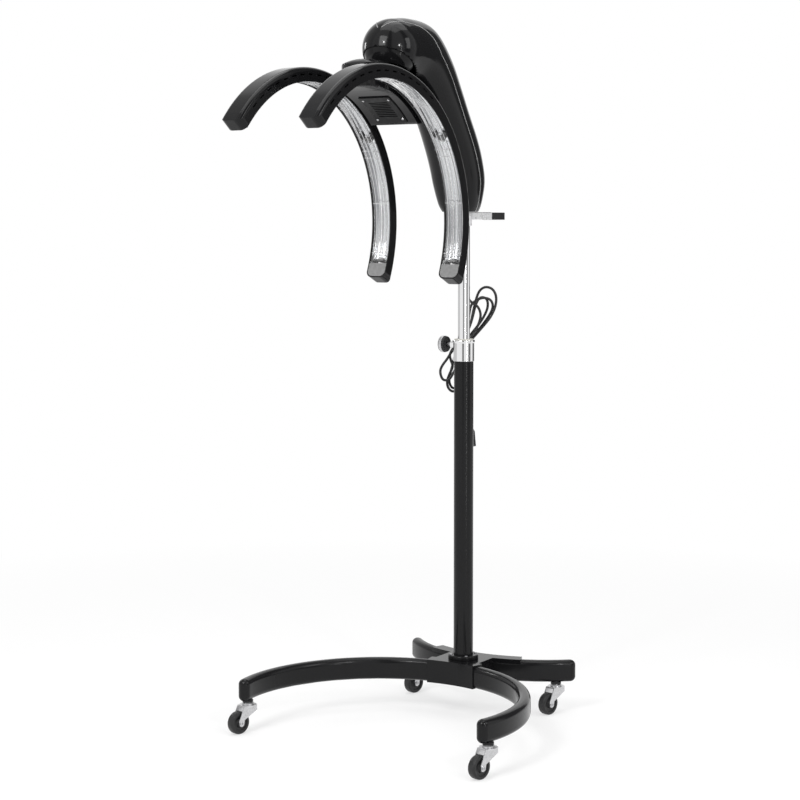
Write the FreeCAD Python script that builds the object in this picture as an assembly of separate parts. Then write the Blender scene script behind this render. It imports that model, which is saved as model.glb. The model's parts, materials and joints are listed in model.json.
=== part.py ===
import FreeCAD, Part
import math
import os

V = FreeCAD.Vector
X_AXIS = V(1, 0, 0)
Y_AXIS = V(0, 1, 0)
Z_AXIS = V(0, 0, 1)

# A wheeled salon stand that carries two curved lamp arms over a client's head.
# Units are millimetres. The mast stands on the Z axis, the floor is Z = 0,
# the client sits on the -Y side and the operator stands on the +Y side.
# At the end the whole model is moved in plan, so that its box is centred on Z.

# Clearances
RUNNING = 0.05
SEAT = 0.3

# Casters
WHEEL_RADIUS = 25.0
WHEEL_WIDTH = 19.0
WHEEL_HUB_RADIUS = 9.0
WHEEL_TREAD = 8.0
WHEEL_DISH = 3.5
AXLE_RADIUS = 3.0
AXLE_HEAD = 2.0
FORK_GAP = 1.2
FORK_WALL = 2.0
FORK_RADIUS = 19.0
FORK_CROWN = 3.0
FORK_TOP_Z = 62.0
CASTER_TRAIL = 27.0
CASTER_TURN = -13.3
STEM_RADIUS = 5.0
STEM_INSERT = 34.0
SOCKET_WALL = 4.0
SOCKET_RIM = 3.0
SOCKET_HEIGHT = 5.0

# Base legs: two bowed tubes, one facing the client and one facing the operator
LEG_WIDTH = 27.0
LEG_HEIGHT = 50.0
LEG_BOTTOM_Z = 72.0
LEG_CORNER = 12.0
LEG_WALL = 2.5
FRONT_LEG_RADIUS = 316.0
FRONT_LEG_APEX_Y = -38.0
FRONT_LEG_END_ANGLE = -13.3
FRONT_STEM_ANGLE = -10.5
REAR_LEG_RADIUS = 306.0
REAR_LEG_APEX_Y = 48.0
REAR_LEG_END_ANGLE = -47.0
REAR_STEM_ANGLE = -53.0
END_CAP_INSERT_ANGLE = 1.0

# Base cover and hub
COVER_WALL = 2.5
COVER_TOP = 3.0
COVER_LIP = 7.0
COVER_WEB_HALF = 57.0
COVER_FRONT_HALF = 65.0
COVER_REAR_HALF = 117.0
HUB_FLOOR = 6.0
FLANGE_RADIUS = 35.0
FLANGE_HEIGHT = 10.0
ANCHOR_BOLT_RADIUS = 5.0
ANCHOR_HEAD_RADIUS = 9.0
ANCHOR_HEAD_HEIGHT = 5.0
ANCHOR_PLUG_HEIGHT = 14.0

# Mast and clamp collar
MAST_RADIUS = 22.5
MAST_WALL = 2.0
MAST_TOP_Z = 838.0
COLLAR_BOTTOM_Z = 815.0
COLLAR_TOP_Z = 863.0
COLLAR_RADIUS = 24.5
COLLAR_LIP = 1.5
COLLAR_LIP_HEIGHT = 5.0
BUSH_RADIUS = 19.0
BUSH_FLANGE_RADIUS = 21.5
BUSH_FLANGE_HEIGHT = 2.5
CLAMP_Z = 852.0
CLAMP_BOSS_RADIUS = 8.5
CLAMP_BOSS_END = 34.0
CLAMP_SCREW_RADIUS = 4.0
CLAMP_PAD_LENGTH = 6.0
CLAMP_SCREW_PITCH = 1.5
KNOB_RADIUS = 19.0
KNOB_LENGTH = 15.0
KNOB_INNER_X = 45.0
KNOB_FLUTES = 20
KNOB_FLUTE_RADIUS = 1.8

# Sliding column
COLUMN_RADIUS = 14.0
COLUMN_WALL = 1.5
COLUMN_BOTTOM_Z = 500.0
COLUMN_FOOT_HEIGHT = 36.0
HANDLE_BOTTOM_Z = 1139.0
HANDLE_HEIGHT = 16.0
HANDLE_WIDTH = 26.0
HANDLE_BAR_END_Y = 116.0
HANDLE_END_Y = 164.0
GRIP_WALL = 1.5
SLEEVE_WALL = 4.0
SLEEVE_DROP = 14.0

# Lamp arms: arcs about an axis along X
ARM_CENTRE_Y = -490.0
ARM_CENTRE_Z = 1134.5
ARM_OUTER = 322.5
ARM_DEPTH = 30.5
ARM_WIDTH = 50.0
ARM_OFFSET_X = 94.6
ARM_WALL = 2.5
ARM_CORNER = 10.0
ARM_NOSE_ANGLE = -51.3
ARM_TAIL_ANGLE = 114.9
NOSE_CAP_ANGLE = 3.6
TAIL_CAP_ANGLE = 6.5
CAP_CORNER = 15.0
END_PLATE_ANGLE = 5.9
END_PLATE_WALL = 3.0
VENT_COUNT = 14
VENT_FIRST_ANGLE = -40.4
VENT_STEP = 5.56
VENT_LENGTH_ANGLE = 2.8
VENT_HEIGHT = 3.0
LAMP_RADIUS = 5.0
LAMP_DEPTH = 9.0
LAMP_BREAKS = (-44.5, 13.6, 53.0, 107.0)
LAMP_HOLDER_ANGLE = 1.0
LAMP_HOLDER_WIDTH = 16.0
REFLECTOR_WALL = 1.0
REFLECTOR_DEPTH = 17.0
REFLECTOR_FLOOR = 24.0
REFLECTOR_RECESS = 3.0
GUARD_WIRE = 1.6
GUARD_WIRE_X = (-14.0, -4.7, 4.7, 14.0)
GUARD_CROSS_ANGLES = (-46.0, -20.0, 8.0, 34.0, 58.0, 61.4, 82.0, 103.5)

# Hinges that let each arm swing outward, on a straight line along the arm's side
HINGE_ANGLE = 33.0
HINGE_DEPTH = 13.5
HINGE_REACH = 40.0
PIN_RADIUS = 1.6
PIN_LENGTH = 22.0
KNUCKLE_RADIUS = 3.8
KNUCKLE_LENGTH = 8.0

# Centre unit that carries the arms: its upper outline as (angle along the arms, rise above them)
CENTRE_HALF_WIDTH = 60.0
CENTRE_WALL = 3.0
CENTRE_DROP = 2.5
CENTRE_TOP = (
    (8.3, 8.5),
    (9.8, 19.0),
    (13.9, 30.5),
    (19.8, 40.5),
    (29.5, 53.0),
    (40.6, 75.5),
    (48.4, 86.5),
)
CENTRE_HEEL = (50.2, 86.0)
CENTRE_HEEL_LOW = (50.8, 72.5)
CENTRE_FRONT_ANGLE = 9.5
CENTRE_BOW_MARGIN = 1.0
CENTRE_REAR_ANGLE = 43.8
ROOM_OVER_FAN = 10.5
ROOM_FIRST_ANGLE = 22.5
ROOM_LAST_ANGLE = 41.5
LOUVRE_HALF_WIDTH = 38.0
LOUVRE_FIRST_ANGLE = 24.3
LOUVRE_LAST_ANGLE = 42.3
LOUVRE_MARGIN_ANGLE = 2.6
LOUVRE_WALL = 2.5
LOUVRE_COUNT = 9
LOUVRE_SLOT_HALF = 24.0
LOUVRE_SLOT_ANGLE = 0.6
LOUVRE_PITCH_ANGLE = 1.2
PANEL_SCREW_X = 32.0
PANEL_SCREW_ANGLES = (26.6, 40.0)
PANEL_SCREW_RADIUS = 2.5
PANEL_SCREW_HEAD = 1.6
FAN_RADIUS = 31.0
FAN_WALL = 2.5
FAN_DEPTH = 12.0
FAN_STANDOFF = 3.0
FAN_HUB_RADIUS = 8.0
FAN_SPOKE = 3.0
FAN_SPOKES = 4

# Rear housing: sections square to its centre line, as
# (Y, Z, lean from vertical in degrees, half width, half depth, roundness)
HOUSING_SECTIONS = (
    (-17.0, 1156.5, 0.0, 39.5, 36.0, 0.80),
    (-18.0, 1176.0, 4.0, 48.0, 44.0, 0.80),
    (-22.0, 1220.0, 10.0, 56.5, 53.0, 0.80),
    (-35.0, 1264.0, 20.0, 58.0, 54.5, 0.80),
    (-55.0, 1306.0, 28.0, 58.0, 55.0, 0.82),
    (-86.0, 1357.0, 33.0, 57.0, 55.0, 0.84),
    (-119.0, 1408.0, 36.0, 57.5, 57.0, 0.86),
    (-159.0, 1458.0, 46.0, 61.0, 62.0, 0.90),
    (-210.0, 1500.0, 66.0, 64.0, 69.0, 0.95),
    (-262.0, 1508.0, 84.0, 65.0, 66.5, 1.00),
    (-298.0, 1505.5, 90.0, 64.0, 64.0, 1.00),
)
HOUSING_WALL = 2.5
SECTION_STEPS = 16
SEAM_OFFSET = 0.58
SEAM_LENGTH = 150.0
DOME_Y = -298.0
DOME_Z = 1505.5
DOME_RADIUS = 64.5
DOME_WALL = 2.4
RIM_DROP = 30.0
RIM_TILT = 28.0
HEAD_GAP = 1.5
HEAD_DOWN = 2.0
BALL_WALL = 3.0

# Frame inside the housing, from the handle bracket up to the tilt axle
FRAME_BASE = 5.0
FRAME_WIDTH = 30.0
FRAME_THICKNESS = 5.0
TILT_AXLE_RADIUS = 6.0
TILT_AXLE_HALF = 30.0
TILT_EYE_RADIUS = 11.0
TILT_LUG_X = 20.0
TILT_LUG_WALL = 4.0
TILT_LUG_RADIUS = 14.0

# Operator's panel on the rear face of the housing
PLINTH_ROOT = 14.0
PLINTH_RISE = 3.0
PLINTH_WIDTH = 54.0
PLINTH_LENGTH = 112.0
PANEL_THICKNESS = 2.0
PANEL_MARGIN = 3.0
DIAL_RADIUS = 14.0
DIAL_HEIGHT = 11.0
DIAL_UP = (-28.0, 16.0)
DIAL_SHAFT_RADIUS = 3.0
DIAL_SHAFT_DEPTH = 8.0
BUTTON_RADIUS = 6.5
BUTTON_DEPTH = 6.0
BUTTON_RISE = 4.0
BUTTON_UP = 43.0

# Power lead: it leaves the handle bracket, is gathered in a hank behind the
# column and ends in a plug. Its points are (right, behind, Z), where right and
# behind are measured square to the lead's own plane behind the column.
CORD_RADIUS = 3.0
CORD_PLANE_ANGLE = 33.5
GLAND_RADIUS = 6.0
GLAND_LENGTH = 14.0
GLAND_FLANGE = 2.5
LEAD_POINTS = (
    (8.0, 27.0, 1125.0),
    (8.0, 27.0, 1065.0),
    (7.0, 31.0, 1000.0),
    (10.0, 44.0, 957.0),
    (25.0, 62.0, 937.0),
)
HANK_BEHIND = 70.0
HANK_THICKNESS = 22.0
HANK_OUTLINE = (
    (-10.0, 857.0),
    (6.0, 905.0),
    (22.0, 952.0),
    (52.0, 984.0),
    (78.0, 968.0),
    (76.0, 932.0),
    (44.0, 890.0),
    (10.0, 843.0),
    (2.0, 790.0),
    (-8.0, 745.0),
    (-30.0, 740.0),
    (-50.0, 770.0),
    (-44.0, 815.0),
)
TIE_PLACE = (0.0, 850.0)
TIE_LEAN = 40.0
TIE_RADIUS = 17.0
TIE_HALF_LENGTH = 6.0
TAIL_POINTS = (
    (-14.0, 70.0, 752.0),
    (-10.0, 69.0, 722.0),
    (4.0, 62.0, 700.0),
    (15.0, 53.0, 684.0),
    (17.0, 46.0, 656.0),
)
PLUG_LENGTH = 34.0
PLUG_RADIUS = 10.0
PLUG_NECK = 10.0
PLUG_NECK_RADIUS = 5.5
PLUG_PIN_RADIUS = 2.4
PLUG_PIN_LENGTH = 18.0
PLUG_PIN_SPACING = 9.5


def box(x0, x1, y0, y1, z0, z1):
    return Part.makeBox(x1 - x0, y1 - y0, z1 - z0, V(x0, y0, z0))


def rod(start, end, radius):
    axis = end - start
    return Part.makeCylinder(radius, axis.Length, start, axis)


def tube(start, end, radius, bore):
    return rod(start, end, radius).cut(rod(start, end, bore))


def fused(shapes):
    result = shapes[0]
    for shape in shapes[1:]:
        result = result.fuse(shape)
    return result.removeSplitter()


def rounded_face(place, width, height, corners):
    """A rectangle about the origin of (u, v), with one radius for each corner.

    corners: radii at (+u, +v), (-u, +v), (-u, -v), (+u, -v)."""
    half_u = width / 2
    half_v = height / 2
    signs = ((1, 1), (-1, 1), (-1, -1), (1, -1))
    edges = []
    starts = []
    ends = []
    for radius, (su, sv) in zip(corners, signs):
        on_top = (su * (half_u - radius), sv * half_v)
        on_side = (su * half_u, sv * (half_v - radius))
        first, last = (on_side, on_top) if su * sv > 0 else (on_top, on_side)
        starts.append(first)
        ends.append(last)
        if radius > 0:
            inset = radius * (1 - math.sqrt(0.5))
            middle = (su * (half_u - inset), sv * (half_v - inset))
            edges.append(Part.Arc(place(*first), place(*middle), place(*last)).toShape())
    for index in range(4):
        start = ends[index]
        end = starts[(index + 1) % 4]
        if math.dist(start, end) > 1e-6:
            edges.append(Part.LineSegment(place(*start), place(*end)).toShape())
    return Part.Face(Part.Wire(Part.__sortEdges__(edges)))


def arm_point(x, radius, angle):
    turn = math.radians(angle)
    return V(x, ARM_CENTRE_Y + radius * math.sin(turn), ARM_CENTRE_Z + radius * math.cos(turn))


def arm_sweep(face, first_angle, last_angle):
    """Turn a face drawn at the top of the arm, at angle 0, along the arm's arc."""
    centre = V(0, ARM_CENTRE_Y, ARM_CENTRE_Z)
    start = face.copy()
    start.rotate(centre, X_AXIS, -first_angle)
    return start.revolve(centre, X_AXIS, -(last_angle - first_angle))


def arm_block(x_middle, width, inner, outer, first_angle, last_angle, inner_corner=0, outer_corner=0):
    """A rectangular bar bent along the arm's arc."""
    middle = (inner + outer) / 2

    def place(u, v):
        return arm_point(x_middle + u, middle + v, 0)

    corners = (outer_corner, outer_corner, inner_corner, inner_corner)
    face = rounded_face(place, width, outer - inner, corners)
    return arm_sweep(face, first_angle, last_angle)


def mirrored(shape):
    return shape.mirror(V(0, 0, 0), X_AXIS)


def biggest(shape):
    return max(shape.Solids, key=lambda solid: solid.Volume)


# ---------------------------------------------------------------- base legs

FRONT_CENTRE_Y = FRONT_LEG_APEX_Y - FRONT_LEG_RADIUS
REAR_CENTRE_Y = REAR_LEG_APEX_Y + REAR_LEG_RADIUS
LEG_TOP_Z = LEG_BOTTOM_Z + LEG_HEIGHT
LEG_MIDDLE_Z = LEG_BOTTOM_Z + LEG_HEIGHT / 2


def leg_bar(centre_y, radius, first_angle, last_angle, grow=0.0, low=0.0):
    """A bar along a leg's arc, grown by a margin in its section."""
    start = math.radians(first_angle)
    outward = V(math.cos(start), math.sin(start), 0)
    centre = V(0, centre_y, 0)

    def place(u, v):
        point = centre + outward * (radius + u)
        return V(point.x, point.y, LEG_MIDDLE_Z + v)

    corner = max(LEG_CORNER + grow, 0.5)
    width = LEG_WIDTH + 2 * grow
    height = LEG_HEIGHT + 2 * grow
    face = rounded_face(place, width, height, (corner, corner, corner, corner))
    return face.revolve(centre, Z_AXIS, last_angle - first_angle)


def make_leg(centre_y, radius, first_angle, last_angle):
    outer = leg_bar(centre_y, radius, first_angle, last_angle)
    inner = leg_bar(centre_y, radius, first_angle, last_angle, -LEG_WALL)
    return outer.cut(inner)


def leg_end_cap(centre_y, radius, angle, direction):
    """A rounded end with a plug that fills the tube's mouth."""
    turn = math.radians(angle)
    end = V(radius * math.cos(turn), centre_y + radius * math.sin(turn), 0)
    outward = V(math.cos(turn), math.sin(turn), 0)

    def place(u, v):
        point = end + outward * (LEG_WIDTH / 4 + u)
        return V(point.x, point.y, LEG_MIDDLE_Z + v)

    corner = LEG_CORNER
    half = rounded_face(place, LEG_WIDTH / 2, LEG_HEIGHT, (corner, 0, 0, corner))
    nose = half.revolve(end, Z_AXIS, 180 * direction)
    insert = leg_bar(centre_y, radius, angle, angle - direction * END_CAP_INSERT_ANGLE, -LEG_WALL)
    return nose.fuse(insert).removeSplitter()


def stem_point(centre_y, radius, angle):
    turn = math.radians(angle)
    return V(radius * math.cos(turn), centre_y + radius * math.sin(turn), 0)


CASTER_PLACES = {
    "front_right": stem_point(FRONT_CENTRE_Y, FRONT_LEG_RADIUS, FRONT_STEM_ANGLE),
    "front_left": stem_point(FRONT_CENTRE_Y, FRONT_LEG_RADIUS, 180 - FRONT_STEM_ANGLE),
    "rear_right": stem_point(REAR_CENTRE_Y, REAR_LEG_RADIUS, REAR_STEM_ANGLE),
    "rear_left": stem_point(REAR_CENTRE_Y, REAR_LEG_RADIUS, 180 - REAR_STEM_ANGLE),
}


def add_legs(nodes):
    front = make_leg(FRONT_CENTRE_Y, FRONT_LEG_RADIUS, FRONT_LEG_END_ANGLE, 180 - FRONT_LEG_END_ANGLE)
    rear_first = REAR_LEG_END_ANGLE
    rear = make_leg(REAR_CENTRE_Y, REAR_LEG_RADIUS, rear_first, -180 - rear_first)
    caps = []
    front_end = FRONT_LEG_END_ANGLE
    caps.append(leg_end_cap(FRONT_CENTRE_Y, FRONT_LEG_RADIUS, front_end, -1))
    caps.append(leg_end_cap(FRONT_CENTRE_Y, FRONT_LEG_RADIUS, 180 - front_end, 1))
    caps.append(leg_end_cap(REAR_CENTRE_Y, REAR_LEG_RADIUS, rear_first, 1))
    caps.append(leg_end_cap(REAR_CENTRE_Y, REAR_LEG_RADIUS, -180 - rear_first, -1))
    sockets = []
    for place in CASTER_PLACES.values():
        foot = V(place.x, place.y, LEG_BOTTOM_Z - SOCKET_HEIGHT)
        shoulder = V(place.x, place.y, LEG_BOTTOM_Z)
        top = V(place.x, place.y, LEG_BOTTOM_Z + STEM_INSERT)
        sleeve_radius = STEM_RADIUS + SOCKET_WALL
        sleeve = rod(shoulder, top, sleeve_radius)
        hole = rod(foot, top - V(0, 0, SOCKET_WALL), STEM_RADIUS + RUNNING)
        rim = rod(foot, shoulder, sleeve_radius + SOCKET_RIM)
        sockets.append(rim.fuse(sleeve).removeSplitter().cut(hole))
        front = front.cut(sleeve)
        rear = rear.cut(sleeve)
        caps = [cap.cut(sleeve) for cap in caps]
    nodes["front_leg"] = front
    nodes["rear_leg"] = rear
    nodes["leg_end_caps"] = Part.makeCompound(caps)
    nodes["caster_sockets"] = Part.makeCompound(sockets)


def add_casters(nodes):
    inner = WHEEL_WIDTH / 2 + FORK_GAP
    outer = inner + FORK_WALL
    stem_top_z = LEG_BOTTOM_Z + STEM_INSERT - SOCKET_WALL - 1
    crown_z = FORK_TOP_Z - FORK_CROWN
    back = FORK_RADIUS - 3
    washer_top = V(0, 0, LEG_BOTTOM_Z - SOCKET_HEIGHT - SEAT)
    for name, place in CASTER_PLACES.items():
        hub = V(0, -CASTER_TRAIL, WHEEL_RADIUS)
        low = V(0, 0, FORK_TOP_Z)
        # Pressed fork: a crown under the stem and two legs that narrow to the axle
        crown = rod(V(0, 0, crown_z), low, FORK_RADIUS)
        race = rod(low, low + V(0, 0, FORK_CROWN), FORK_RADIUS - 6)
        profile = Part.makePolygon([
            V(0, back, FORK_TOP_Z - 0.5),
            V(0, -FORK_RADIUS, FORK_TOP_Z - 0.5),
            V(0, hub.y - 7.5, WHEEL_RADIUS + 6),
            V(0, hub.y - 6, WHEEL_RADIUS - 5),
            V(0, hub.y, WHEEL_RADIUS - 8),
            V(0, hub.y + 6, WHEEL_RADIUS - 5),
            V(0, hub.y + 8, WHEEL_RADIUS + 6),
            V(0, back, FORK_TOP_Z - 13),
            V(0, back, FORK_TOP_Z - 0.5),
        ])
        plate = Part.Face(profile).extrude(V(2 * outer, 0, 0))
        plate.translate(V(-outer, 0, 0))
        gap = box(-inner, inner, hub.y - 60, 60, 0, crown_z)
        fork = fused([crown, race, plate.cut(gap)])
        shank = rod(hub - V(outer, 0, 0), hub + V(outer, 0, 0), AXLE_RADIUS)
        stem = rod(V(0, 0, crown_z), V(0, 0, stem_top_z), STEM_RADIUS)
        fork = fork.cut(shank).cut(stem)
        washer = rod(low + V(0, 0, FORK_CROWN), washer_top, STEM_RADIUS + 3)
        stem = fused([stem, washer])
        heads = [rod(hub + V(side * outer, 0, 0), hub + V(side * (outer + AXLE_HEAD), 0, 0), AXLE_RADIUS + 1.5)
                 for side in (-1, 1)]
        axle = fused([shank] + heads)
        caster = Part.makeCompound([fork, stem, axle])
        nodes["caster_fork_" + name] = caster_in_place(caster, place)
        nodes["caster_wheel_" + name] = caster_in_place(make_wheel(hub), place)


def caster_in_place(shape, place):
    """Turn a caster, drawn about the Z axis, to its heading and move it under its socket."""
    turned = shape.copy()
    turned.rotate(V(0, 0, 0), Z_AXIS, CASTER_TURN)
    turned.translate(place)
    return turned


def make_wheel(hub):
    half = WHEEL_WIDTH / 2
    dish = half - WHEEL_DISH
    web_end = WHEEL_RADIUS - WHEEL_TREAD
    outline = [
        (AXLE_RADIUS + RUNNING, -half),
        (WHEEL_HUB_RADIUS, -half),
        (WHEEL_HUB_RADIUS + 2, -dish),
        (web_end, -dish),
        (web_end + 2, -half + 0.5),
        (WHEEL_RADIUS - 2.5, -half + 0.5),
        (WHEEL_RADIUS, -dish),
        (WHEEL_RADIUS, dish),
        (WHEEL_RADIUS - 2.5, half - 0.5),
        (web_end + 2, half - 0.5),
        (web_end, dish),
        (WHEEL_HUB_RADIUS + 2, dish),
        (WHEEL_HUB_RADIUS, half),
        (AXLE_RADIUS + RUNNING, half),
    ]
    points = [V(hub.x + along, hub.y, hub.z + radius) for radius, along in outline]
    wire = Part.makePolygon(points + [points[0]])
    return Part.Face(wire).revolve(hub, X_AXIS, 360)


# ---------------------------------------------------------------- hub, cover and mast

HUB_HALF = COVER_WEB_HALF - COVER_WALL - SEAT
COVER_TOP_Z = LEG_TOP_Z + COVER_TOP
FLANGE_TOP_Z = COVER_TOP_Z + FLANGE_HEIGHT
HUB_TOP_Z = LEG_TOP_Z - SEAT


def leg_sector(centre_y, radius, half_length, toward_y, grow, bottom_z, top_z):
    """A flat curved block over the middle of a leg's arc."""
    sweep = 2 * math.degrees(half_length / radius)
    middle = 90 if toward_y > 0 else -90
    outer = Part.makeCylinder(radius + LEG_WIDTH / 2 + grow, top_z - bottom_z,
                              V(0, centre_y, bottom_z), Z_AXIS, sweep)
    outer.rotate(V(0, centre_y, 0), Z_AXIS, middle - sweep / 2)
    inner = Part.makeCylinder(radius - LEG_WIDTH / 2 - grow, top_z - bottom_z,
                              V(0, centre_y, bottom_z))
    return outer.cut(inner)


def add_hub(nodes):
    legs = [
        leg_bar(FRONT_CENTRE_Y, FRONT_LEG_RADIUS, 60, 120),
        leg_bar(REAR_CENTRE_Y, REAR_LEG_RADIUS, -120, -60),
    ]
    clear_legs = [
        leg_bar(FRONT_CENTRE_Y, FRONT_LEG_RADIUS, 60, 120, SEAT),
        leg_bar(REAR_CENTRE_Y, REAR_LEG_RADIUS, -125, -55, SEAT),
    ]
    mast_hole = rod(V(0, 0, LEG_BOTTOM_Z + HUB_FLOOR), V(0, 0, COVER_TOP_Z + 5), MAST_RADIUS)
    hub = box(-HUB_HALF, HUB_HALF, FRONT_LEG_APEX_Y, REAR_LEG_APEX_Y, LEG_BOTTOM_Z, HUB_TOP_Z)
    for bar in legs:
        hub = hub.cut(bar)
    bolt_hole = rod(V(0, 0, LEG_BOTTOM_Z - 1), V(0, 0, LEG_BOTTOM_Z + HUB_FLOOR), ANCHOR_BOLT_RADIUS)
    hub = hub.cut(mast_hole).cut(bolt_hole)
    nodes["hub_block"] = hub

    lip_z = COVER_TOP_Z - COVER_TOP - COVER_LIP
    front = leg_sector(FRONT_CENTRE_Y, FRONT_LEG_RADIUS, COVER_FRONT_HALF, 1, COVER_WALL,
                       LEG_BOTTOM_Z, COVER_TOP_Z)
    rear = leg_sector(REAR_CENTRE_Y, REAR_LEG_RADIUS, COVER_REAR_HALF, -1, COVER_WALL,
                      lip_z, COVER_TOP_Z)
    web = box(-COVER_WEB_HALF, COVER_WEB_HALF, FRONT_LEG_APEX_Y, REAR_LEG_APEX_Y, LEG_BOTTOM_Z, COVER_TOP_Z)
    cover = fused([front, rear, web])
    room = box(-HUB_HALF - SEAT, HUB_HALF + SEAT, FRONT_LEG_APEX_Y, REAR_LEG_APEX_Y,
               LEG_BOTTOM_Z - 1, LEG_TOP_Z)
    cover = cover.cut(room)
    for bar in clear_legs:
        cover = cover.cut(bar)
    cover = cover.cut(rod(V(0, 0, LEG_TOP_Z - 1), V(0, 0, COVER_TOP_Z + 1), MAST_RADIUS + SEAT))
    nodes["base_cover"] = cover

    flange = tube(V(0, 0, COVER_TOP_Z), V(0, 0, FLANGE_TOP_Z), FLANGE_RADIUS, MAST_RADIUS + RUNNING)
    top_edge = [edge for edge in flange.Edges
                if abs(edge.BoundBox.ZMin - FLANGE_TOP_Z) < 0.01 and edge.BoundBox.XMax > MAST_RADIUS + 5]
    nodes["mast_flange"] = flange.makeFillet(3.0, top_edge[:1])

    mast_foot = V(0, 0, LEG_BOTTOM_Z + HUB_FLOOR)
    nodes["mast_tube"] = tube(mast_foot, V(0, 0, MAST_TOP_Z), MAST_RADIUS, MAST_RADIUS - MAST_WALL)
    plug_top = mast_foot + V(0, 0, ANCHOR_PLUG_HEIGHT)
    plug = tube(mast_foot, plug_top, MAST_RADIUS - MAST_WALL, ANCHOR_BOLT_RADIUS)
    head_low = V(0, 0, LEG_BOTTOM_Z - ANCHOR_HEAD_HEIGHT)
    shank = rod(head_low, plug_top + V(0, 0, 6), ANCHOR_BOLT_RADIUS)
    head = rod(head_low, V(0, 0, LEG_BOTTOM_Z), ANCHOR_HEAD_RADIUS)
    nodes["mast_anchor"] = Part.makeCompound([plug, shank.fuse(head).removeSplitter()])


def add_collar(nodes):
    low = V(0, 0, COLLAR_BOTTOM_Z)
    high = V(0, 0, COLLAR_TOP_Z)
    lip = V(0, 0, COLLAR_TOP_Z - COLLAR_LIP_HEIGHT)
    body = rod(low, high, COLLAR_RADIUS)
    ring = rod(lip, high, COLLAR_RADIUS + COLLAR_LIP)
    boss = rod(V(-BUSH_RADIUS - 1, 0, CLAMP_Z), V(-CLAMP_BOSS_END, 0, CLAMP_Z), CLAMP_BOSS_RADIUS)
    collar = fused([body, ring, boss])
    collar = collar.cut(rod(low, V(0, 0, MAST_TOP_Z), MAST_RADIUS))
    collar = collar.cut(rod(V(0, 0, MAST_TOP_Z), high, BUSH_RADIUS + RUNNING))
    screw_hole = rod(V(0, 0, CLAMP_Z), V(-CLAMP_BOSS_END - 1, 0, CLAMP_Z), CLAMP_SCREW_RADIUS + RUNNING)
    nodes["clamp_collar"] = collar.cut(screw_hole)

    bush_low = V(0, 0, MAST_TOP_Z + SEAT)
    shoulder = V(0, 0, COLLAR_TOP_Z + SEAT)
    bush_top = shoulder + V(0, 0, BUSH_FLANGE_HEIGHT)
    bush = rod(bush_low, bush_top, BUSH_RADIUS).fuse(rod(shoulder, bush_top, BUSH_FLANGE_RADIUS))
    nodes["guide_bush"] = bush.cut(rod(bush_low, bush_top, COLUMN_RADIUS + RUNNING)).removeSplitter()

    tip_x = -BUSH_RADIUS - SEAT
    pad_end = tip_x - CLAMP_PAD_LENGTH
    nodes["clamp_pad"] = rod(V(tip_x, 0, CLAMP_Z), V(pad_end, 0, CLAMP_Z), CLAMP_SCREW_RADIUS)
    knob_end = -KNOB_INNER_X - KNOB_LENGTH
    screw = rod(V(pad_end - RUNNING, 0, CLAMP_Z), V(knob_end + 4, 0, CLAMP_Z), CLAMP_SCREW_RADIUS)
    nodes["clamp_screw"] = screw
    grip = rod(V(-KNOB_INNER_X, 0, CLAMP_Z), V(knob_end, 0, CLAMP_Z), KNOB_RADIUS)
    for index in range(KNOB_FLUTES):
        turn = 2 * math.pi * (index + 0.5) / KNOB_FLUTES
        reach = KNOB_RADIUS + KNOB_FLUTE_RADIUS * 0.55
        y = reach * math.cos(turn)
        z = CLAMP_Z + reach * math.sin(turn)
        grip = grip.cut(rod(V(-KNOB_INNER_X + 1, y, z), V(knob_end - 1, y, z), KNOB_FLUTE_RADIUS))
    nodes["clamp_knob"] = grip.cut(screw)


# ---------------------------------------------------------------- sliding column and handle

HANDLE_TOP_Z = HANDLE_BOTTOM_Z + HANDLE_HEIGHT


def add_column(nodes):
    foot = V(0, 0, COLUMN_BOTTOM_Z)
    seat = V(0, 0, HANDLE_BOTTOM_Z + HANDLE_HEIGHT / 2)
    nodes["column_tube"] = tube(foot, seat, COLUMN_RADIUS, COLUMN_RADIUS - COLUMN_WALL)
    sleeve_low = foot - V(0, 0, 4)
    sleeve_top = foot + V(0, 0, COLUMN_FOOT_HEIGHT)
    sleeve = rod(sleeve_low, sleeve_top, MAST_RADIUS - MAST_WALL - RUNNING)
    nodes["column_foot"] = sleeve.cut(rod(foot, sleeve_top, COLUMN_RADIUS))

    half = HANDLE_WIDTH / 2
    socket_radius = COLUMN_RADIUS + SLEEVE_WALL
    bar = box(-half, half, 0, HANDLE_BAR_END_Y, HANDLE_BOTTOM_Z, HANDLE_TOP_Z)
    socket = rod(V(0, 0, HANDLE_BOTTOM_Z - SLEEVE_DROP), V(0, 0, HANDLE_TOP_Z), socket_radius)
    tongue = box(-half + GRIP_WALL, half - GRIP_WALL, HANDLE_BAR_END_Y, HANDLE_END_Y - 6,
                 HANDLE_BOTTOM_Z + GRIP_WALL, HANDLE_TOP_Z - GRIP_WALL)
    bracket = fused([bar, socket, tongue])
    bracket = bracket.cut(rod(V(0, 0, HANDLE_BOTTOM_Z - SLEEVE_DROP), seat, COLUMN_RADIUS))
    nodes["handle_bracket"] = bracket
    grip = box(-half, half, HANDLE_BAR_END_Y, HANDLE_END_Y, HANDLE_BOTTOM_Z, HANDLE_TOP_Z)
    rear_edges = [edge for edge in grip.Edges
                  if edge.BoundBox.YMin > HANDLE_END_Y - 0.01]
    grip = grip.makeFillet(3.0, rear_edges)
    nodes["handle_grip"] = grip.cut(tongue)


# ---------------------------------------------------------------- rear housing


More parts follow.
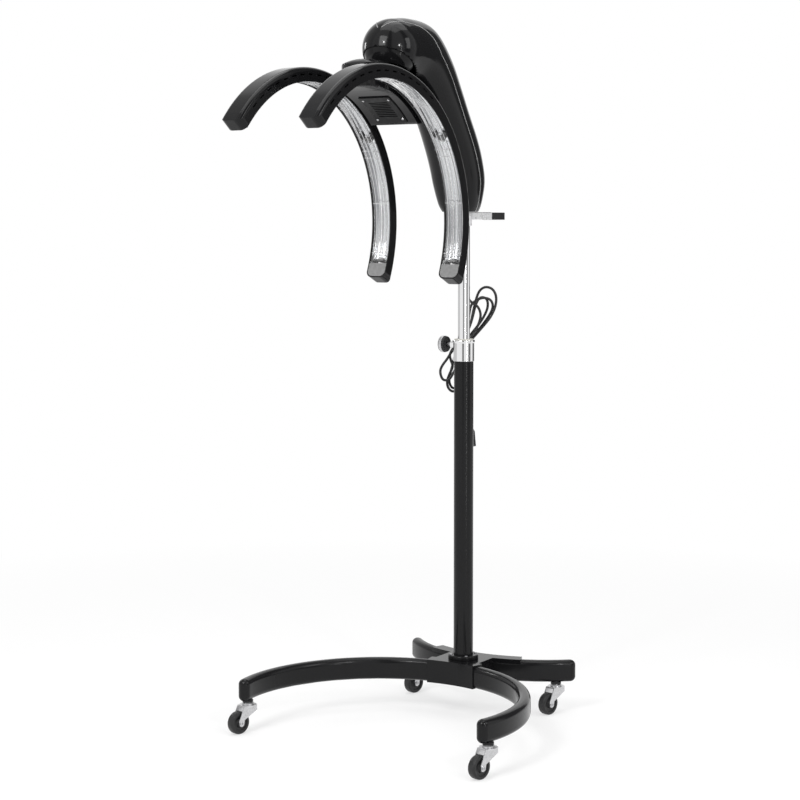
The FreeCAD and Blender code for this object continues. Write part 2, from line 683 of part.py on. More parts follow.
def section_wire(y, z, lean, half_width, half_depth, roundness, inset):
    """A soft-cornered section, square to the housing's centre line."""
    turn = math.radians(lean)
    depth = V(0, math.cos(turn), math.sin(turn))
    a = half_width - inset
    b = half_depth - inset
    points = []
    for index in range(SECTION_STEPS):
        angle = 2 * math.pi * index / SECTION_STEPS
        c = math.cos(angle)
        s = math.sin(angle)
        u = a * math.copysign(abs(c) ** roundness, c)
        v = b * math.copysign(abs(s) ** roundness, s)
        points.append(V(u, y, z) + depth * v)
    curve = Part.BSplineCurve()
    curve.interpolate(points, PeriodicFlag=True)
    return Part.Wire(curve.toShape())


def housing_loft(inset):
    wires = [section_wire(*section, inset) for section in HOUSING_SECTIONS]
    return Part.makeLoft(wires, True, False)


def seam_tool():
    """Everything behind the parting line, which follows the centre line at an offset."""
    points = []
    for y, z, lean, half_width, half_depth, roundness in HOUSING_SECTIONS:
        turn = math.radians(lean)
        offset = SEAM_OFFSET * half_depth
        points.append(V(0, y + offset * math.cos(turn), z + offset * math.sin(turn)))
    first = V(0, points[0].y, points[0].z - SEAM_LENGTH)
    last = V(0, DOME_Y - DOME_RADIUS - SEAM_LENGTH, points[-1].z)
    line = Part.BSplineCurve()
    line.interpolate(points)
    rear_y = first.y + 2 * SEAM_LENGTH
    top_z = last.z + SEAM_LENGTH
    corners = [last, V(0, last.y, top_z), V(0, rear_y, top_z), V(0, rear_y, first.z), first]
    edges = [Part.LineSegment(first, points[0]).toShape(), line.toShape(),
             Part.LineSegment(points[-1], last).toShape()]
    for start, end in zip(corners[:-1], corners[1:]):
        edges.append(Part.LineSegment(start, end).toShape())
    return slab(Part.Wire(edges), SEAM_LENGTH)


def slab(wire, half_width):
    """A flat outline in the Y-Z plane, made as thick as asked on both sides of it."""
    face = Part.Face(wire)
    solid = face.extrude(V(2 * half_width, 0, 0))
    solid.translate(V(-half_width, 0, 0))
    return solid


def rim_axes():
    turn = math.radians(RIM_TILT)
    down = V(0, -math.sin(turn), -math.cos(turn))
    along = V(0, math.cos(turn), -math.sin(turn))
    return down, along


def rim_tool():
    """The space below the tilted rim at the dome's open mouth."""
    down, along = rim_axes()
    centre = V(0, DOME_Y, DOME_Z)
    origin = centre + down * RIM_DROP
    front = -2 * DOME_RADIUS
    rear = 0.94 * DOME_RADIUS
    reach = 1.4 * DOME_RADIUS
    corners = [origin + along * front, origin + along * rear,
               origin + along * rear + down * reach, origin + along * front + down * reach]
    return slab(Part.makePolygon(corners + [corners[0]]), 2 * DOME_RADIUS)


PANEL_Y, PANEL_Z, PANEL_LEAN, PANEL_HALF_WIDTH, PANEL_SURFACE = HOUSING_SECTIONS[len(HOUSING_SECTIONS) // 2][:5]


def panel_frame():
    turn = math.radians(PANEL_LEAN)
    along = V(0, -math.sin(turn), math.cos(turn))
    normal = V(0, math.cos(turn), math.sin(turn))
    return V(0, PANEL_Y, PANEL_Z), along, normal


def panel_block(across, up, depth_low, depth_high, width, length):
    """A block on the operator's panel, placed across, up the slope and outward."""
    origin, along, normal = panel_frame()
    block = box(-width / 2, width / 2, -length / 2, length / 2, depth_low, depth_high)
    matrix = FreeCAD.Matrix(-1, 0, 0, across,
                            0, along.y, normal.y, origin.y + along.y * up,
                            0, along.z, normal.z, origin.z + along.z * up,
                            0, 0, 0, 1)
    turned = block.copy()
    placement = FreeCAD.Placement(matrix)
    turned.Placement = placement
    return turned


def panel_rod(across, up, depth_low, depth_high, radius):
    origin, along, normal = panel_frame()
    start = origin + V(across, 0, 0) + along * up + normal * depth_low
    return rod(start, start + normal * (depth_high - depth_low), radius)


def add_housing(nodes):
    dome = Part.makeSphere(DOME_RADIUS, V(0, DOME_Y, DOME_Z))
    outer = housing_loft(0.0).fuse(dome)
    cavity = Part.makeSphere(DOME_RADIUS - DOME_WALL, V(0, DOME_Y, DOME_Z))
    inner = housing_loft(HOUSING_WALL).fuse(cavity)
    shell = outer.cut(inner)
    shell = shell.cut(rim_tool())
    seam = seam_tool()
    nodes["housing_front"] = biggest(shell.cut(seam))
    rear = biggest(shell.common(seam))
    face = PANEL_SURFACE + PLINTH_RISE
    plinth = panel_block(0, 0, PANEL_SURFACE - PLINTH_ROOT, face, PLINTH_WIDTH, PLINTH_LENGTH)
    rear = rear.fuse(plinth.cut(inner))
    for up in DIAL_UP:
        rear = rear.cut(panel_rod(0, up, 0, face + 1, DIAL_SHAFT_RADIUS + 2))
    rear = rear.cut(panel_rod(0, BUTTON_UP, 0, face + 1, BUTTON_RADIUS + 1))
    nodes["housing_rear"] = biggest(rear)

    top = face + PANEL_THICKNESS
    plate = panel_block(0, 0, face, top, PLINTH_WIDTH - 2 * PANEL_MARGIN, PLINTH_LENGTH - 2 * PANEL_MARGIN)
    for name, up in zip(("timer_dial", "heat_dial"), DIAL_UP):
        plate = plate.cut(panel_rod(0, up, face - 1, top + 1, DIAL_SHAFT_RADIUS + RUNNING))
        dial = panel_rod(0, up, top + SEAT, top + SEAT + DIAL_HEIGHT, DIAL_RADIUS)
        shaft = panel_rod(0, up, face - DIAL_SHAFT_DEPTH, top + SEAT, DIAL_SHAFT_RADIUS)
        nodes[name] = fused([dial, shaft])
    nodes["control_panel"] = plate.cut(panel_rod(0, BUTTON_UP, face - 1, top + 1, BUTTON_RADIUS + RUNNING))
    nodes["power_button"] = panel_rod(0, BUTTON_UP, face - BUTTON_DEPTH, top + BUTTON_RISE, BUTTON_RADIUS)
    add_housing_frame(nodes, inner)


def add_housing_frame(nodes, inner):
    """A base plate that fills the housing's mouth, and a strut bent up to the tilt axle."""
    mouth_y, mouth_z, lean, half_width, half_depth, roundness = HOUSING_SECTIONS[0]
    mouth = box(-half_width, half_width, mouth_y - half_depth, mouth_y + half_depth,
                HANDLE_TOP_Z, mouth_z + FRAME_BASE)
    base = inner.common(mouth)
    foot = inner_slab(HANDLE_TOP_Z, mouth_z)
    centre = V(0, DOME_Y, DOME_Z)
    line = [V(0, section[0], section[1]) for section in HOUSING_SECTIONS[:-1]] + [centre]
    half = FRAME_THICKNESS / 2
    upper = []
    lower = []
    for index, point in enumerate(line):
        ahead = line[min(index + 1, len(line) - 1)] - line[max(index - 1, 0)]
        side = X_AXIS.cross(ahead).normalize() * half
        upper.append(point + side)
        lower.append(point - side)
    outline = upper + lower[::-1]
    strut = slab(Part.makePolygon(outline + [outline[0]]), FRAME_WIDTH / 2)
    eye = rod(centre - V(FRAME_WIDTH / 2, 0, 0), centre + V(FRAME_WIDTH / 2, 0, 0), TILT_EYE_RADIUS)
    axle = rod(centre - V(TILT_AXLE_HALF, 0, 0), centre + V(TILT_AXLE_HALF, 0, 0), TILT_AXLE_RADIUS)
    nodes["housing_frame"] = biggest(fused([base, foot, strut, eye, axle]))


def inner_slab(low_z, high_z):
    """The part of the frame's base that stands on the handle bracket below the housing."""
    y, z, lean, half_width, half_depth, roundness = HOUSING_SECTIONS[0]
    size = HANDLE_WIDTH / 2
    return box(-size, size, y - half_depth / 2, y + half_depth / 2, low_z, high_z)


# ---------------------------------------------------------------- lamp arms

ARM_INNER = ARM_OUTER - ARM_DEPTH


def end_trim(angle, direction, width, corner):
    """A prism with rounded corners that rounds an arm's end in plan."""
    length = 4 * ARM_DEPTH
    turn = math.radians(angle)
    tangent = V(0, math.cos(turn), -math.sin(turn)) * direction
    radial = V(0, math.sin(turn), math.cos(turn))
    end = arm_point(ARM_OFFSET_X, ARM_INNER - ARM_DEPTH, angle)

    def place(u, v):
        return end + V(u, 0, 0) + tangent * (v - length / 2)

    face = rounded_face(place, width, length, (corner, corner, 0, 0))
    return face.extrude(radial * (3 * ARM_DEPTH))


def channel(first_angle, last_angle):
    outer = arm_block(ARM_OFFSET_X, ARM_WIDTH, ARM_INNER, ARM_OUTER, first_angle, last_angle,
                      0, ARM_CORNER)
    hollow = arm_block(ARM_OFFSET_X, ARM_WIDTH - 2 * ARM_WALL, ARM_INNER - 1, ARM_OUTER - ARM_WALL,
                       first_angle, last_angle, 0, ARM_CORNER - ARM_WALL)
    return outer.cut(hollow)


def end_cap(joint_angle, end_angle):
    """The arm's end past its joint with the shell. The bar is drawn long and the trim gives its end."""
    direction = math.copysign(1, end_angle - joint_angle)
    first, last = sorted((joint_angle, end_angle + direction))
    solid = arm_block(ARM_OFFSET_X, ARM_WIDTH, ARM_INNER, ARM_OUTER, first, last, 0, ARM_CORNER)
    return solid.common(end_trim(end_angle, direction, ARM_WIDTH, CAP_CORNER))


def arm_reflector(first_angle, last_angle):
    half_mouth = ARM_WIDTH / 2 - ARM_WALL
    half_floor = REFLECTOR_FLOOR / 2
    mouth = ARM_INNER + REFLECTOR_RECESS
    floor = mouth + REFLECTOR_DEPTH
    edge = 1.6 * REFLECTOR_WALL
    outline = [(-half_mouth, mouth), (-half_floor, floor), (half_floor, floor), (half_mouth, mouth),
               (half_mouth - edge, mouth), (half_floor - edge / 3, floor - REFLECTOR_WALL),
               (-half_floor + edge / 3, floor - REFLECTOR_WALL), (-half_mouth + edge, mouth)]
    points = [arm_point(ARM_OFFSET_X + u, radius, 0) for u, radius in outline]
    face = Part.Face(Part.makePolygon(points + [points[0]]))
    return arm_sweep(face, first_angle, last_angle)


def arm_lamps():
    """Lamp tubes bent along the arc, and the holders that stand on the reflector at their ends."""
    mouth = ARM_INNER + REFLECTOR_RECESS
    lamp_radius = mouth + LAMP_DEPTH
    floor = mouth + REFLECTOR_DEPTH - REFLECTOR_WALL
    lamps = []
    holders = []
    for first, last in zip(LAMP_BREAKS[:-1], LAMP_BREAKS[1:]):
        circle = Part.makeCircle(LAMP_RADIUS, arm_point(ARM_OFFSET_X, lamp_radius, 0), Y_AXIS)
        lamp_first = first + LAMP_HOLDER_ANGLE
        lamp_last = last - LAMP_HOLDER_ANGLE
        lamps.append(arm_sweep(Part.Face(Part.Wire(circle)), lamp_first, lamp_last))
        gap = LAMP_HOLDER_ANGLE / 8
        for start, end in ((first + gap, lamp_first), (lamp_last, last - gap)):
            holders.append(arm_block(ARM_OFFSET_X, LAMP_HOLDER_WIDTH, lamp_radius - LAMP_RADIUS - 1.5,
                                     floor, start, end))
    return lamps, holders


def arm_guard():
    """Wires along the arm's mouth, held by cross wires that reach the channel's walls."""
    top = ARM_INNER + GUARD_WIRE
    half_wire = math.degrees(GUARD_WIRE / 2 / ARM_INNER)
    wires = []
    for offset in GUARD_WIRE_X:
        wires.append(arm_block(ARM_OFFSET_X + offset, GUARD_WIRE, ARM_INNER, top,
                               GUARD_CROSS_ANGLES[0], GUARD_CROSS_ANGLES[-1]))
    for angle in GUARD_CROSS_ANGLES:
        wires.append(arm_block(ARM_OFFSET_X, ARM_WIDTH - 2 * ARM_WALL, ARM_INNER, top,
                               angle - half_wire, angle + half_wire))
    return fused(wires)


def arm_vents():
    middle = ARM_INNER + ARM_DEPTH / 2
    slots = []
    for index in range(VENT_COUNT):
        angle = VENT_FIRST_ANGLE + index * VENT_STEP
        slots.append(arm_block(ARM_OFFSET_X, 2 * ARM_WIDTH, middle - VENT_HEIGHT / 2, middle + VENT_HEIGHT / 2,
                               angle - VENT_LENGTH_ANGLE / 2, angle + VENT_LENGTH_ANGLE / 2))
    return slots


def add_arm(nodes, side, flip):
    """One lamp arm, drawn on the +X side and mirrored for the other."""
    nose_joint = ARM_NOSE_ANGLE + NOSE_CAP_ANGLE
    tail_joint = ARM_TAIL_ANGLE - TAIL_CAP_ANGLE
    shell = channel(nose_joint, tail_joint)
    for slot in arm_vents():
        shell = shell.cut(slot)
    for lug in hinge_parts()["arm"]:
        shell = shell.fuse(lug)
    pieces = {"arm_shell": shell}
    pieces["arm_nose_cap"] = end_cap(nose_joint, ARM_NOSE_ANGLE)
    tail_cap = end_cap(tail_joint, ARM_TAIL_ANGLE)
    plate_end = tail_joint + END_PLATE_ANGLE
    plate_width = ARM_WIDTH - 2 * ARM_WALL
    plate = arm_block(ARM_OFFSET_X, plate_width, ARM_INNER, ARM_INNER + END_PLATE_WALL, tail_joint, plate_end)
    plate = plate.common(end_trim(plate_end, 1, plate_width, CAP_CORNER - ARM_WALL))
    pieces["arm_tail_cap"] = tail_cap.cut(plate)
    pieces["reflector"] = arm_reflector(nose_joint, tail_joint)
    lamps, holders = arm_lamps()
    pieces["lamp_tubes"] = Part.makeCompound(lamps)
    pieces["lamp_holders"] = Part.makeCompound(holders + [plate])
    pieces["wire_guard"] = arm_guard()
    for name, shape in pieces.items():
        nodes[name + "_" + side] = mirrored(shape) if flip else shape


# ---------------------------------------------------------------- hinges between the centre unit and the arms

HINGE_X = (CENTRE_HALF_WIDTH + ARM_OFFSET_X - ARM_WIDTH / 2) / 2


def hinge_line():
    """A point on the hinges' common axis and the axis's direction."""
    turn = math.radians(HINGE_ANGLE)
    return arm_point(HINGE_X, ARM_OUTER - HINGE_DEPTH, HINGE_ANGLE), V(0, math.cos(turn), -math.sin(turn))


def hinge_lug(middle, axis, length, toward_x):
    """A knuckle about the pin, with a web to the piece at the given X."""
    start = middle - axis * (length / 2)
    radial = V(0, -axis.z, axis.y)
    web_half = KNUCKLE_RADIUS * 0.7
    corner = start - radial * web_half
    corners = [corner, corner + axis * length, corner + axis * length + radial * (2 * web_half),
               corner + radial * (2 * web_half)]
    web = Part.Face(Part.makePolygon(corners + [corners[0]])).extrude(V(toward_x - middle.x, 0, 0))
    knuckle = rod(start, start + axis * length, KNUCKLE_RADIUS)
    bore = rod(start, start + axis * length, PIN_RADIUS + RUNNING)
    return fused([knuckle, web]).cut(bore)


def hinge_parts():
    """The lugs of the arm and of the centre unit, and the pins, on the +X side."""
    origin, axis = hinge_line()
    arm_x = ARM_OFFSET_X - ARM_WIDTH / 2 + ARM_WALL
    unit_x = CENTRE_HALF_WIDTH - CENTRE_WALL
    side_length = (PIN_LENGTH - KNUCKLE_LENGTH) / 2 - SEAT
    parts = {"arm": [], "unit": [], "pins": []}
    for along in (-HINGE_REACH, HINGE_REACH):
        middle = origin + axis * along
        parts["arm"].append(hinge_lug(middle, axis, KNUCKLE_LENGTH, arm_x))
        for side in (-1, 1):
            step = side * (KNUCKLE_LENGTH / 2 + SEAT + side_length / 2)
            lug = hinge_lug(middle + axis * step, axis, side_length, unit_x)
            parts["unit"].append(lug)
        parts["pins"].append(rod(middle - axis * (PIN_LENGTH / 2), middle + axis * (PIN_LENGTH / 2), PIN_RADIUS))
    return parts


# ---------------------------------------------------------------- centre unit between the arms

CENTRE_INNER = ARM_INNER - CENTRE_DROP


def centre_block():
    """The centre unit's outer form: a curved underside and a crowned top that runs back to a heel."""
    front = arm_point(0, CENTRE_INNER, CENTRE_FRONT_ANGLE)
    middle = arm_point(0, CENTRE_INNER, (CENTRE_FRONT_ANGLE + CENTRE_REAR_ANGLE) / 2)
    rear = arm_point(0, CENTRE_INNER, CENTRE_REAR_ANGLE)
    top = [arm_point(0, ARM_OUTER + rise, angle) for angle, rise in CENTRE_TOP]
    crown = Part.BSplineCurve()
    crown.interpolate(top)
    heel, heel_low = [arm_point(0, ARM_OUTER + rise, angle) for angle, rise in (CENTRE_HEEL, CENTRE_HEEL_LOW)]
    edges = [
        Part.LineSegment(front, top[0]).toShape(),
        crown.toShape(),
        Part.Arc(top[-1], heel, heel_low).toShape(),
        Part.LineSegment(heel_low, rear).toShape(),
        Part.Arc(rear, middle, front).toShape(),
    ]
    block = slab(Part.Wire(edges), CENTRE_HALF_WIDTH)
    # The front is a half round in plan
    bow_radius = CENTRE_HALF_WIDTH + CENTRE_BOW_MARGIN
    bow_y = min(point.y for point in top) + bow_radius
    rear_y = max(heel.y, rear.y) + 1
    low_z = rear.z - 1
    high_z = max(point.z for point in top) + 5
    bow = rod(V(0, bow_y, low_z), V(0, bow_y, high_z), bow_radius)
    tail = box(-bow_radius, bow_radius, bow_y, rear_y, low_z, high_z)
    return block.common(bow.fuse(tail))


def add_centre(nodes):
    solid = centre_block()
    # The housing's front wall stands in a recess, which also clears it when the head tips forward
    clear_housing = housing_loft(-HEAD_GAP)
    tipped = clear_housing.copy()
    tipped.rotate(V(0, DOME_Y, DOME_Z), X_AXIS, -HEAD_DOWN)
    solid = biggest(solid.cut(clear_housing).cut(tipped))
    outer_form = solid
    room_half = CENTRE_HALF_WIDTH - CENTRE_WALL
    roof = CENTRE_INNER + CENTRE_WALL
    ceiling = roof + FAN_STANDOFF + FAN_DEPTH + ROOM_OVER_FAN
    room = arm_block(0, 2 * room_half, roof, ceiling, ROOM_FIRST_ANGLE, ROOM_LAST_ANGLE)
    window_half = LOUVRE_HALF_WIDTH - 8
    window = arm_block(0, 2 * window_half, CENTRE_INNER - 1, roof + 1,
                       LOUVRE_FIRST_ANGLE + LOUVRE_MARGIN_ANGLE, LOUVRE_LAST_ANGLE - LOUVRE_MARGIN_ANGLE)
    solid = solid.cut(room).cut(window)

    plate_inner = CENTRE_INNER - LOUVRE_WALL
    plate = arm_block(0, 2 * LOUVRE_HALF_WIDTH, plate_inner, CENTRE_INNER, LOUVRE_FIRST_ANGLE, LOUVRE_LAST_ANGLE)
    middle = (LOUVRE_FIRST_ANGLE + LOUVRE_LAST_ANGLE) / 2
    first = middle - LOUVRE_PITCH_ANGLE * (LOUVRE_COUNT - 1) / 2
    for index in range(LOUVRE_COUNT):
        angle = first + index * LOUVRE_PITCH_ANGLE
        plate = plate.cut(arm_block(0, 2 * LOUVRE_SLOT_HALF, plate_inner - 1, CENTRE_INNER + 1,
                                    angle - LOUVRE_SLOT_ANGLE / 2, angle + LOUVRE_SLOT_ANGLE / 2))
    screws = []
    for x in (-PANEL_SCREW_X, PANEL_SCREW_X):
        for angle in PANEL_SCREW_ANGLES:
            seat = arm_point(x, plate_inner, angle)
            shank = rod(seat, arm_point(x, roof, angle), PANEL_SCREW_RADIUS / 2)
            head = rod(arm_point(x, plate_inner - PANEL_SCREW_HEAD, angle), seat, PANEL_SCREW_RADIUS)
            screws.append(fused([head, shank]))
            plate = plate.cut(shank)
            solid = solid.cut(shank)
    nodes["louvre_panel"] = plate
    nodes["panel_screws"] = Part.makeCompound(screws)
    nodes["fan_frame"] = make_fan(roof, middle)
    pins = []
    hinge = hinge_parts()
    for lug in hinge["unit"]:
        solid = solid.fuse(lug).fuse(mirrored(lug))
    for pin in hinge["pins"]:
        pins += [pin, mirrored(pin)]
        solid = solid.cut(pin).cut(mirrored(pin))
    nodes["centre_housing"] = biggest(solid)
    nodes["arm_hinge_pins"] = Part.makeCompound(pins)
    nodes["tilt_ball"] = make_ball(outer_form)


def make_fan(roof, angle):
    """A fan's frame that stands on the unit's floor over the louvres."""
    low = arm_point(0, roof, angle)
    radial = arm_point(0, 1, angle) - arm_point(0, 0, angle)
    top = low + radial * (FAN_STANDOFF + FAN_DEPTH)
    lift = low + radial * FAN_STANDOFF
    frame = tube(low - radial, top, FAN_RADIUS + FAN_WALL, FAN_RADIUS)
    frame = frame.cut(arm_block(0, 4 * FAN_RADIUS, roof - 5, roof, angle - 10, angle + 10))
    hub = rod(lift, top, FAN_HUB_RADIUS)
    parts = [frame, hub]
    for index in range(FAN_SPOKES):
        turn = 360.0 * index / FAN_SPOKES
        spoke = box(FAN_HUB_RADIUS - 1, FAN_RADIUS + 1, -FAN_SPOKE / 2, FAN_SPOKE / 2, 0, FAN_SPOKE)
        spoke.rotate(V(0, 0, 0), Z_AXIS, turn)
        spoke.rotate(V(0, 0, 0), X_AXIS, -angle)
        spoke.translate(top - radial * FAN_SPOKE)
        parts.append(spoke)
    return fused(parts)


def make_ball(outer_form):
    """A hollow ball on the centre unit that turns in the housing's dome about the tilt axle."""
    ball_radius = DOME_RADIUS - DOME_WALL - SEAT
    centre = V(0, DOME_Y, DOME_Z)
    ball = Part.makeSphere(ball_radius, centre)
    core = Part.makeSphere(ball_radius - BALL_WALL, centre)
    down, along = rim_axes()
    lid = rod(centre - down * 2 * ball_radius, centre, 2 * ball_radius)
    parts = [ball.cut(core).cut(lid)]
    for side in (-1, 1):
        inner_x = side * TILT_LUG_X
        outer_x = side * (TILT_LUG_X + TILT_LUG_WALL)
        eye = rod(V(inner_x, DOME_Y, DOME_Z), V(outer_x, DOME_Y, DOME_Z), TILT_LUG_RADIUS)
        leg = box(min(inner_x, outer_x), max(inner_x, outer_x), DOME_Y - TILT_LUG_RADIUS, DOME_Y + TILT_LUG_RADIUS,
                  DOME_Z - ball_radius + BALL_WALL / 2, DOME_Z)
        parts.append(fused([eye, leg.common(ball)]))
    whole = fused(parts).cut(outer_form)
    axle = rod(centre - V(2 * TILT_AXLE_HALF, 0, 0), centre + V(2 * TILT_AXLE_HALF, 0, 0),
               TILT_AXLE_RADIUS + RUNNING)
    return biggest(whole.cut(axle))


# ---------------------------------------------------------------- power lead


def cord_point(right, behind, z):
    turn = math.radians(CORD_PLANE_ANGLE)
    return V(right * math.cos(turn) - behind * math.sin(turn), right * math.sin(turn) + behind * math.cos(turn), z)


def cord_tube(points, radius):
    """Straight runs joined by tangent arcs, each as large as its two runs allow."""
    edges = []
    radii = []
    last = points[0]
    for before, corner, after in zip(points[:-2], points[1:-1], points[2:]):
        into = (corner - before).normalize()
        out = (after - corner).normalize()
        half_turn = into.getAngle(out) / 2
        run = min((corner - before).Length, (after - corner).Length)
        cut = 0.45 * run
        radii.append(cut / math.tan(half_turn))
        start = corner - into * cut
        end = corner + out * cut
        toward = (out - into).normalize()
        middle = corner + toward * (radii[-1] / math.cos(half_turn) - radii[-1])
        edges.append(Part.LineSegment(last, start).toShape())
        edges.append(Part.Arc(start, middle, end).toShape())
        last = end
    edges.append(Part.LineSegment(last, points[-1]).toShape())
    path = Part.Wire(edges)
    ring = Part.Wire(Part.makeCircle(radius, points[0], points[1] - points[0]))
    solid = path.makePipeShell([ring], True, False)
    print("cord: length", round(path.Length, 1), "arc radii", [round(value, 1) for value in radii],
          "volume share", round(solid.Volume / (math.pi * radius ** 2 * path.Length), 4))
    return solid


def make_hank():
    """The gathered turns of the lead, as one closed solid of their outer shape."""
    points = [cord_point(right, HANK_BEHIND - HANK_THICKNESS / 2, z) for right, z in HANK_OUTLINE]
    curve = Part.BSplineCurve()
    curve.interpolate(points, PeriodicFlag=True)
    face = Part.Face(Part.Wire(curve.toShape()))
    return face.extrude(cord_point(0, HANK_THICKNESS, 0))


def make_plug(top, direction):
    neck_end = top + direction * PLUG_NECK
    body_end = neck_end + direction * PLUG_LENGTH
    neck = Part.makeCone(PLUG_NECK_RADIUS, PLUG_RADIUS, PLUG_NECK, top, direction)
    body = rod(neck_end, body_end, PLUG_RADIUS)
    plug = fused([neck, body])
    side = cord_point(0, 1, 0)
    side = (side - direction * side.dot(direction)).normalize()
    pins = []
    for offset in (-PLUG_PIN_SPACING, PLUG_PIN_SPACING):
        start = body_end + side * (offset / 2)
        pins.append(rod(start, start + direction * PLUG_PIN_LENGTH, PLUG_PIN_RADIUS))
    return Part.makeCompound([plug] + pins)


def add_cord(nodes):
    lead_points = [cord_point(*point) for point in LEAD_POINTS]
    exit_point = lead_points[0]
    gland_top = V(exit_point.x, exit_point.y, HANDLE_BOTTOM_Z)
    gland_low = exit_point
    collar = rod(gland_top, gland_top - V(0, 0, GLAND_FLANGE), GLAND_RADIUS + 1.5)
    gland = fused([rod(gland_low, gland_top, GLAND_RADIUS), collar])
    nodes["cord_gland"] = gland

    hank = make_hank()
    nodes["power_hank"] = hank
    nodes["power_lead"] = biggest(cord_tube(lead_points, CORD_RADIUS).cut(hank))
    turn = math.radians(TIE_LEAN)
    heading = cord_point(math.sin(turn), 0, math.cos(turn))
    waist = cord_point(TIE_PLACE[0], HANK_BEHIND, TIE_PLACE[1])
    tie = rod(waist - heading * TIE_HALF_LENGTH, waist + heading * TIE_HALF_LENGTH, TIE_RADIUS)
    nodes["power_tie"] = tie.cut(hank)
    tail_points = [cord_point(*point) for point in TAIL_POINTS]
    nodes["power_tail"] = biggest(cord_tube(tail_points, CORD_RADIUS).cut(hank))
    heading = (tail_points[-1] - tail_points[-2]).normalize()
    nodes["power_plug"] = make_plug(tail_points[-1], heading)


# ---------------------------------------------------------------- whole model

CORD_NODES = ("power_lead", "power_hank", "power_tie", "power_tail", "power_plug")


def build():
    nodes = {}
    add_legs(nodes)
    add_casters(nodes)
    add_hub(nodes)
    add_collar(nodes)
    add_column(nodes)
    add_housing(nodes)
    add_centre(nodes)
    add_arm(nodes, "right", False)
    add_arm(nodes, "left", True)
    add_cord(nodes)
    return nodes


def plan_shift(nodes):
    """The move that centres the model's box, without the power lead, on the origin."""
    bounds = FreeCAD.BoundBox()
    for name, shape in nodes.items():
        if name not in CORD_NODES:
            bounds.add(shape.BoundBox)
    return V(-bounds.Center.x, -bounds.Center.y, -bounds.ZMin)


def main():
    nodes = build()
    shift = plan_shift(nodes)
    os.makedirs("parts", exist_ok=True)
    for name, shape in nodes.items():
        moved = shape.copy()
        moved.translate(shift)
        moved.exportStep("parts/" + name + ".step")
        print(name, len(moved.Solids), round(moved.Volume), moved.isValid())
    print("nodes", len(nodes), "shift", shift)


main()
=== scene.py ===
import json
import math

import bmesh
import bpy
from mathutils import Matrix, Vector


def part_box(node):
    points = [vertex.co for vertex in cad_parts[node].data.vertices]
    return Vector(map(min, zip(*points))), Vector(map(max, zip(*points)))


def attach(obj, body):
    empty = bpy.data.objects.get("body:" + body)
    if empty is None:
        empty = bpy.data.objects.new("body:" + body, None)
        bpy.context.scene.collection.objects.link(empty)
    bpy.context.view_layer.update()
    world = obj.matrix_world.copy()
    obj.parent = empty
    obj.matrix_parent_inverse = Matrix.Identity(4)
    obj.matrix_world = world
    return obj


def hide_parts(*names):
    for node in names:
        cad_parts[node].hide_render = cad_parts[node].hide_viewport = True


bl_info = {
    "name": "Hair colour processor",
    "version": (1, 0, 0),
    "blender": (4, 5, 0),
    "location": "View3D > Sidebar > Processor",
    "description": "Builds the visible pieces of a salon hair colour processor around its solid model",
    "category": "Object",
}

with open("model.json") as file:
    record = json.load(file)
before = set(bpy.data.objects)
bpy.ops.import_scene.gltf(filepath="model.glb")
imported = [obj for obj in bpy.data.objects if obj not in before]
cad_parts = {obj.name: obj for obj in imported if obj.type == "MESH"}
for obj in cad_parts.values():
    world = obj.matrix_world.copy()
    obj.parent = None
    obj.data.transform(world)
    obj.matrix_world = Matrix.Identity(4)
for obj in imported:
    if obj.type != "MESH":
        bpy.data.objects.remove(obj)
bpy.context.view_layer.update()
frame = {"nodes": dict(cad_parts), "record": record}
NODES = frame["nodes"]
NODE_BODY = {node: body for body, nodes in frame["record"]["behaviour"]["bodies"].items() for node in nodes}
MM = 0.001


# ---------------------------------------------------------------- places on the object


def middle(node):
    low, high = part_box(node)
    return (low + high) / 2


MAST = middle("mast_tube")


def at(x, y, z):
    """A point in the model's frame, from millimetres measured at the mast's foot."""
    return Vector((MAST.x + x * MM, MAST.y + y * MM, z * MM))


# Sizes and places are millimetres, angles are degrees, and the mast's foot is the origin.
ARM_CENTRE_Y = -490.0
ARM_CENTRE_Z = 1134.5
ARM_INNER = 292.0
ARM_OFFSET = 94.6
SIDES = {"right": 1.0, "left": -1.0}
DOME = (0.0, -298.0, 1505.5)
DOME_RADIUS = 64.5
RIM_DROP = 30.0
RIM_TILT = math.radians(28.0)
HOUSING_SECTIONS = (
    # the housing's centre line and its sections: Y, Z, lean in degrees, half width, half depth, roundness
    (-17.0, 1156.5, 0.0, 39.5, 36.0, 0.80),
    (-18.0, 1176.0, 4.0, 48.0, 44.0, 0.80),
    (-22.0, 1220.0, 10.0, 56.5, 53.0, 0.80),
    (-35.0, 1264.0, 20.0, 58.0, 54.5, 0.80),
    (-55.0, 1306.0, 28.0, 58.0, 55.0, 0.82),
    (-86.0, 1357.0, 33.0, 57.0, 55.0, 0.84),
    (-119.0, 1408.0, 36.0, 57.5, 57.0, 0.86),
    (-159.0, 1458.0, 46.0, 61.0, 62.0, 0.90),
    (-210.0, 1500.0, 66.0, 64.0, 69.0, 0.95),
    (-262.0, 1508.0, 84.0, 65.0, 66.5, 1.00),
    (-298.0, 1505.5, 90.0, 64.5, 64.5, 1.00),
)
PANEL_Y, PANEL_Z, PANEL_LEAN, _, PANEL_SURFACE = HOUSING_SECTIONS[5][:5]
PLINTH_RISE = 3.0
PANEL_THICKNESS = 2.0


def arm_point(x, radius, angle):
    """A point on the arc that the lamp arms follow. Angle 0 is its top, and the angle grows to the rear."""
    turn = math.radians(angle)
    return at(x, ARM_CENTRE_Y + radius * math.sin(turn), ARM_CENTRE_Z + radius * math.cos(turn))


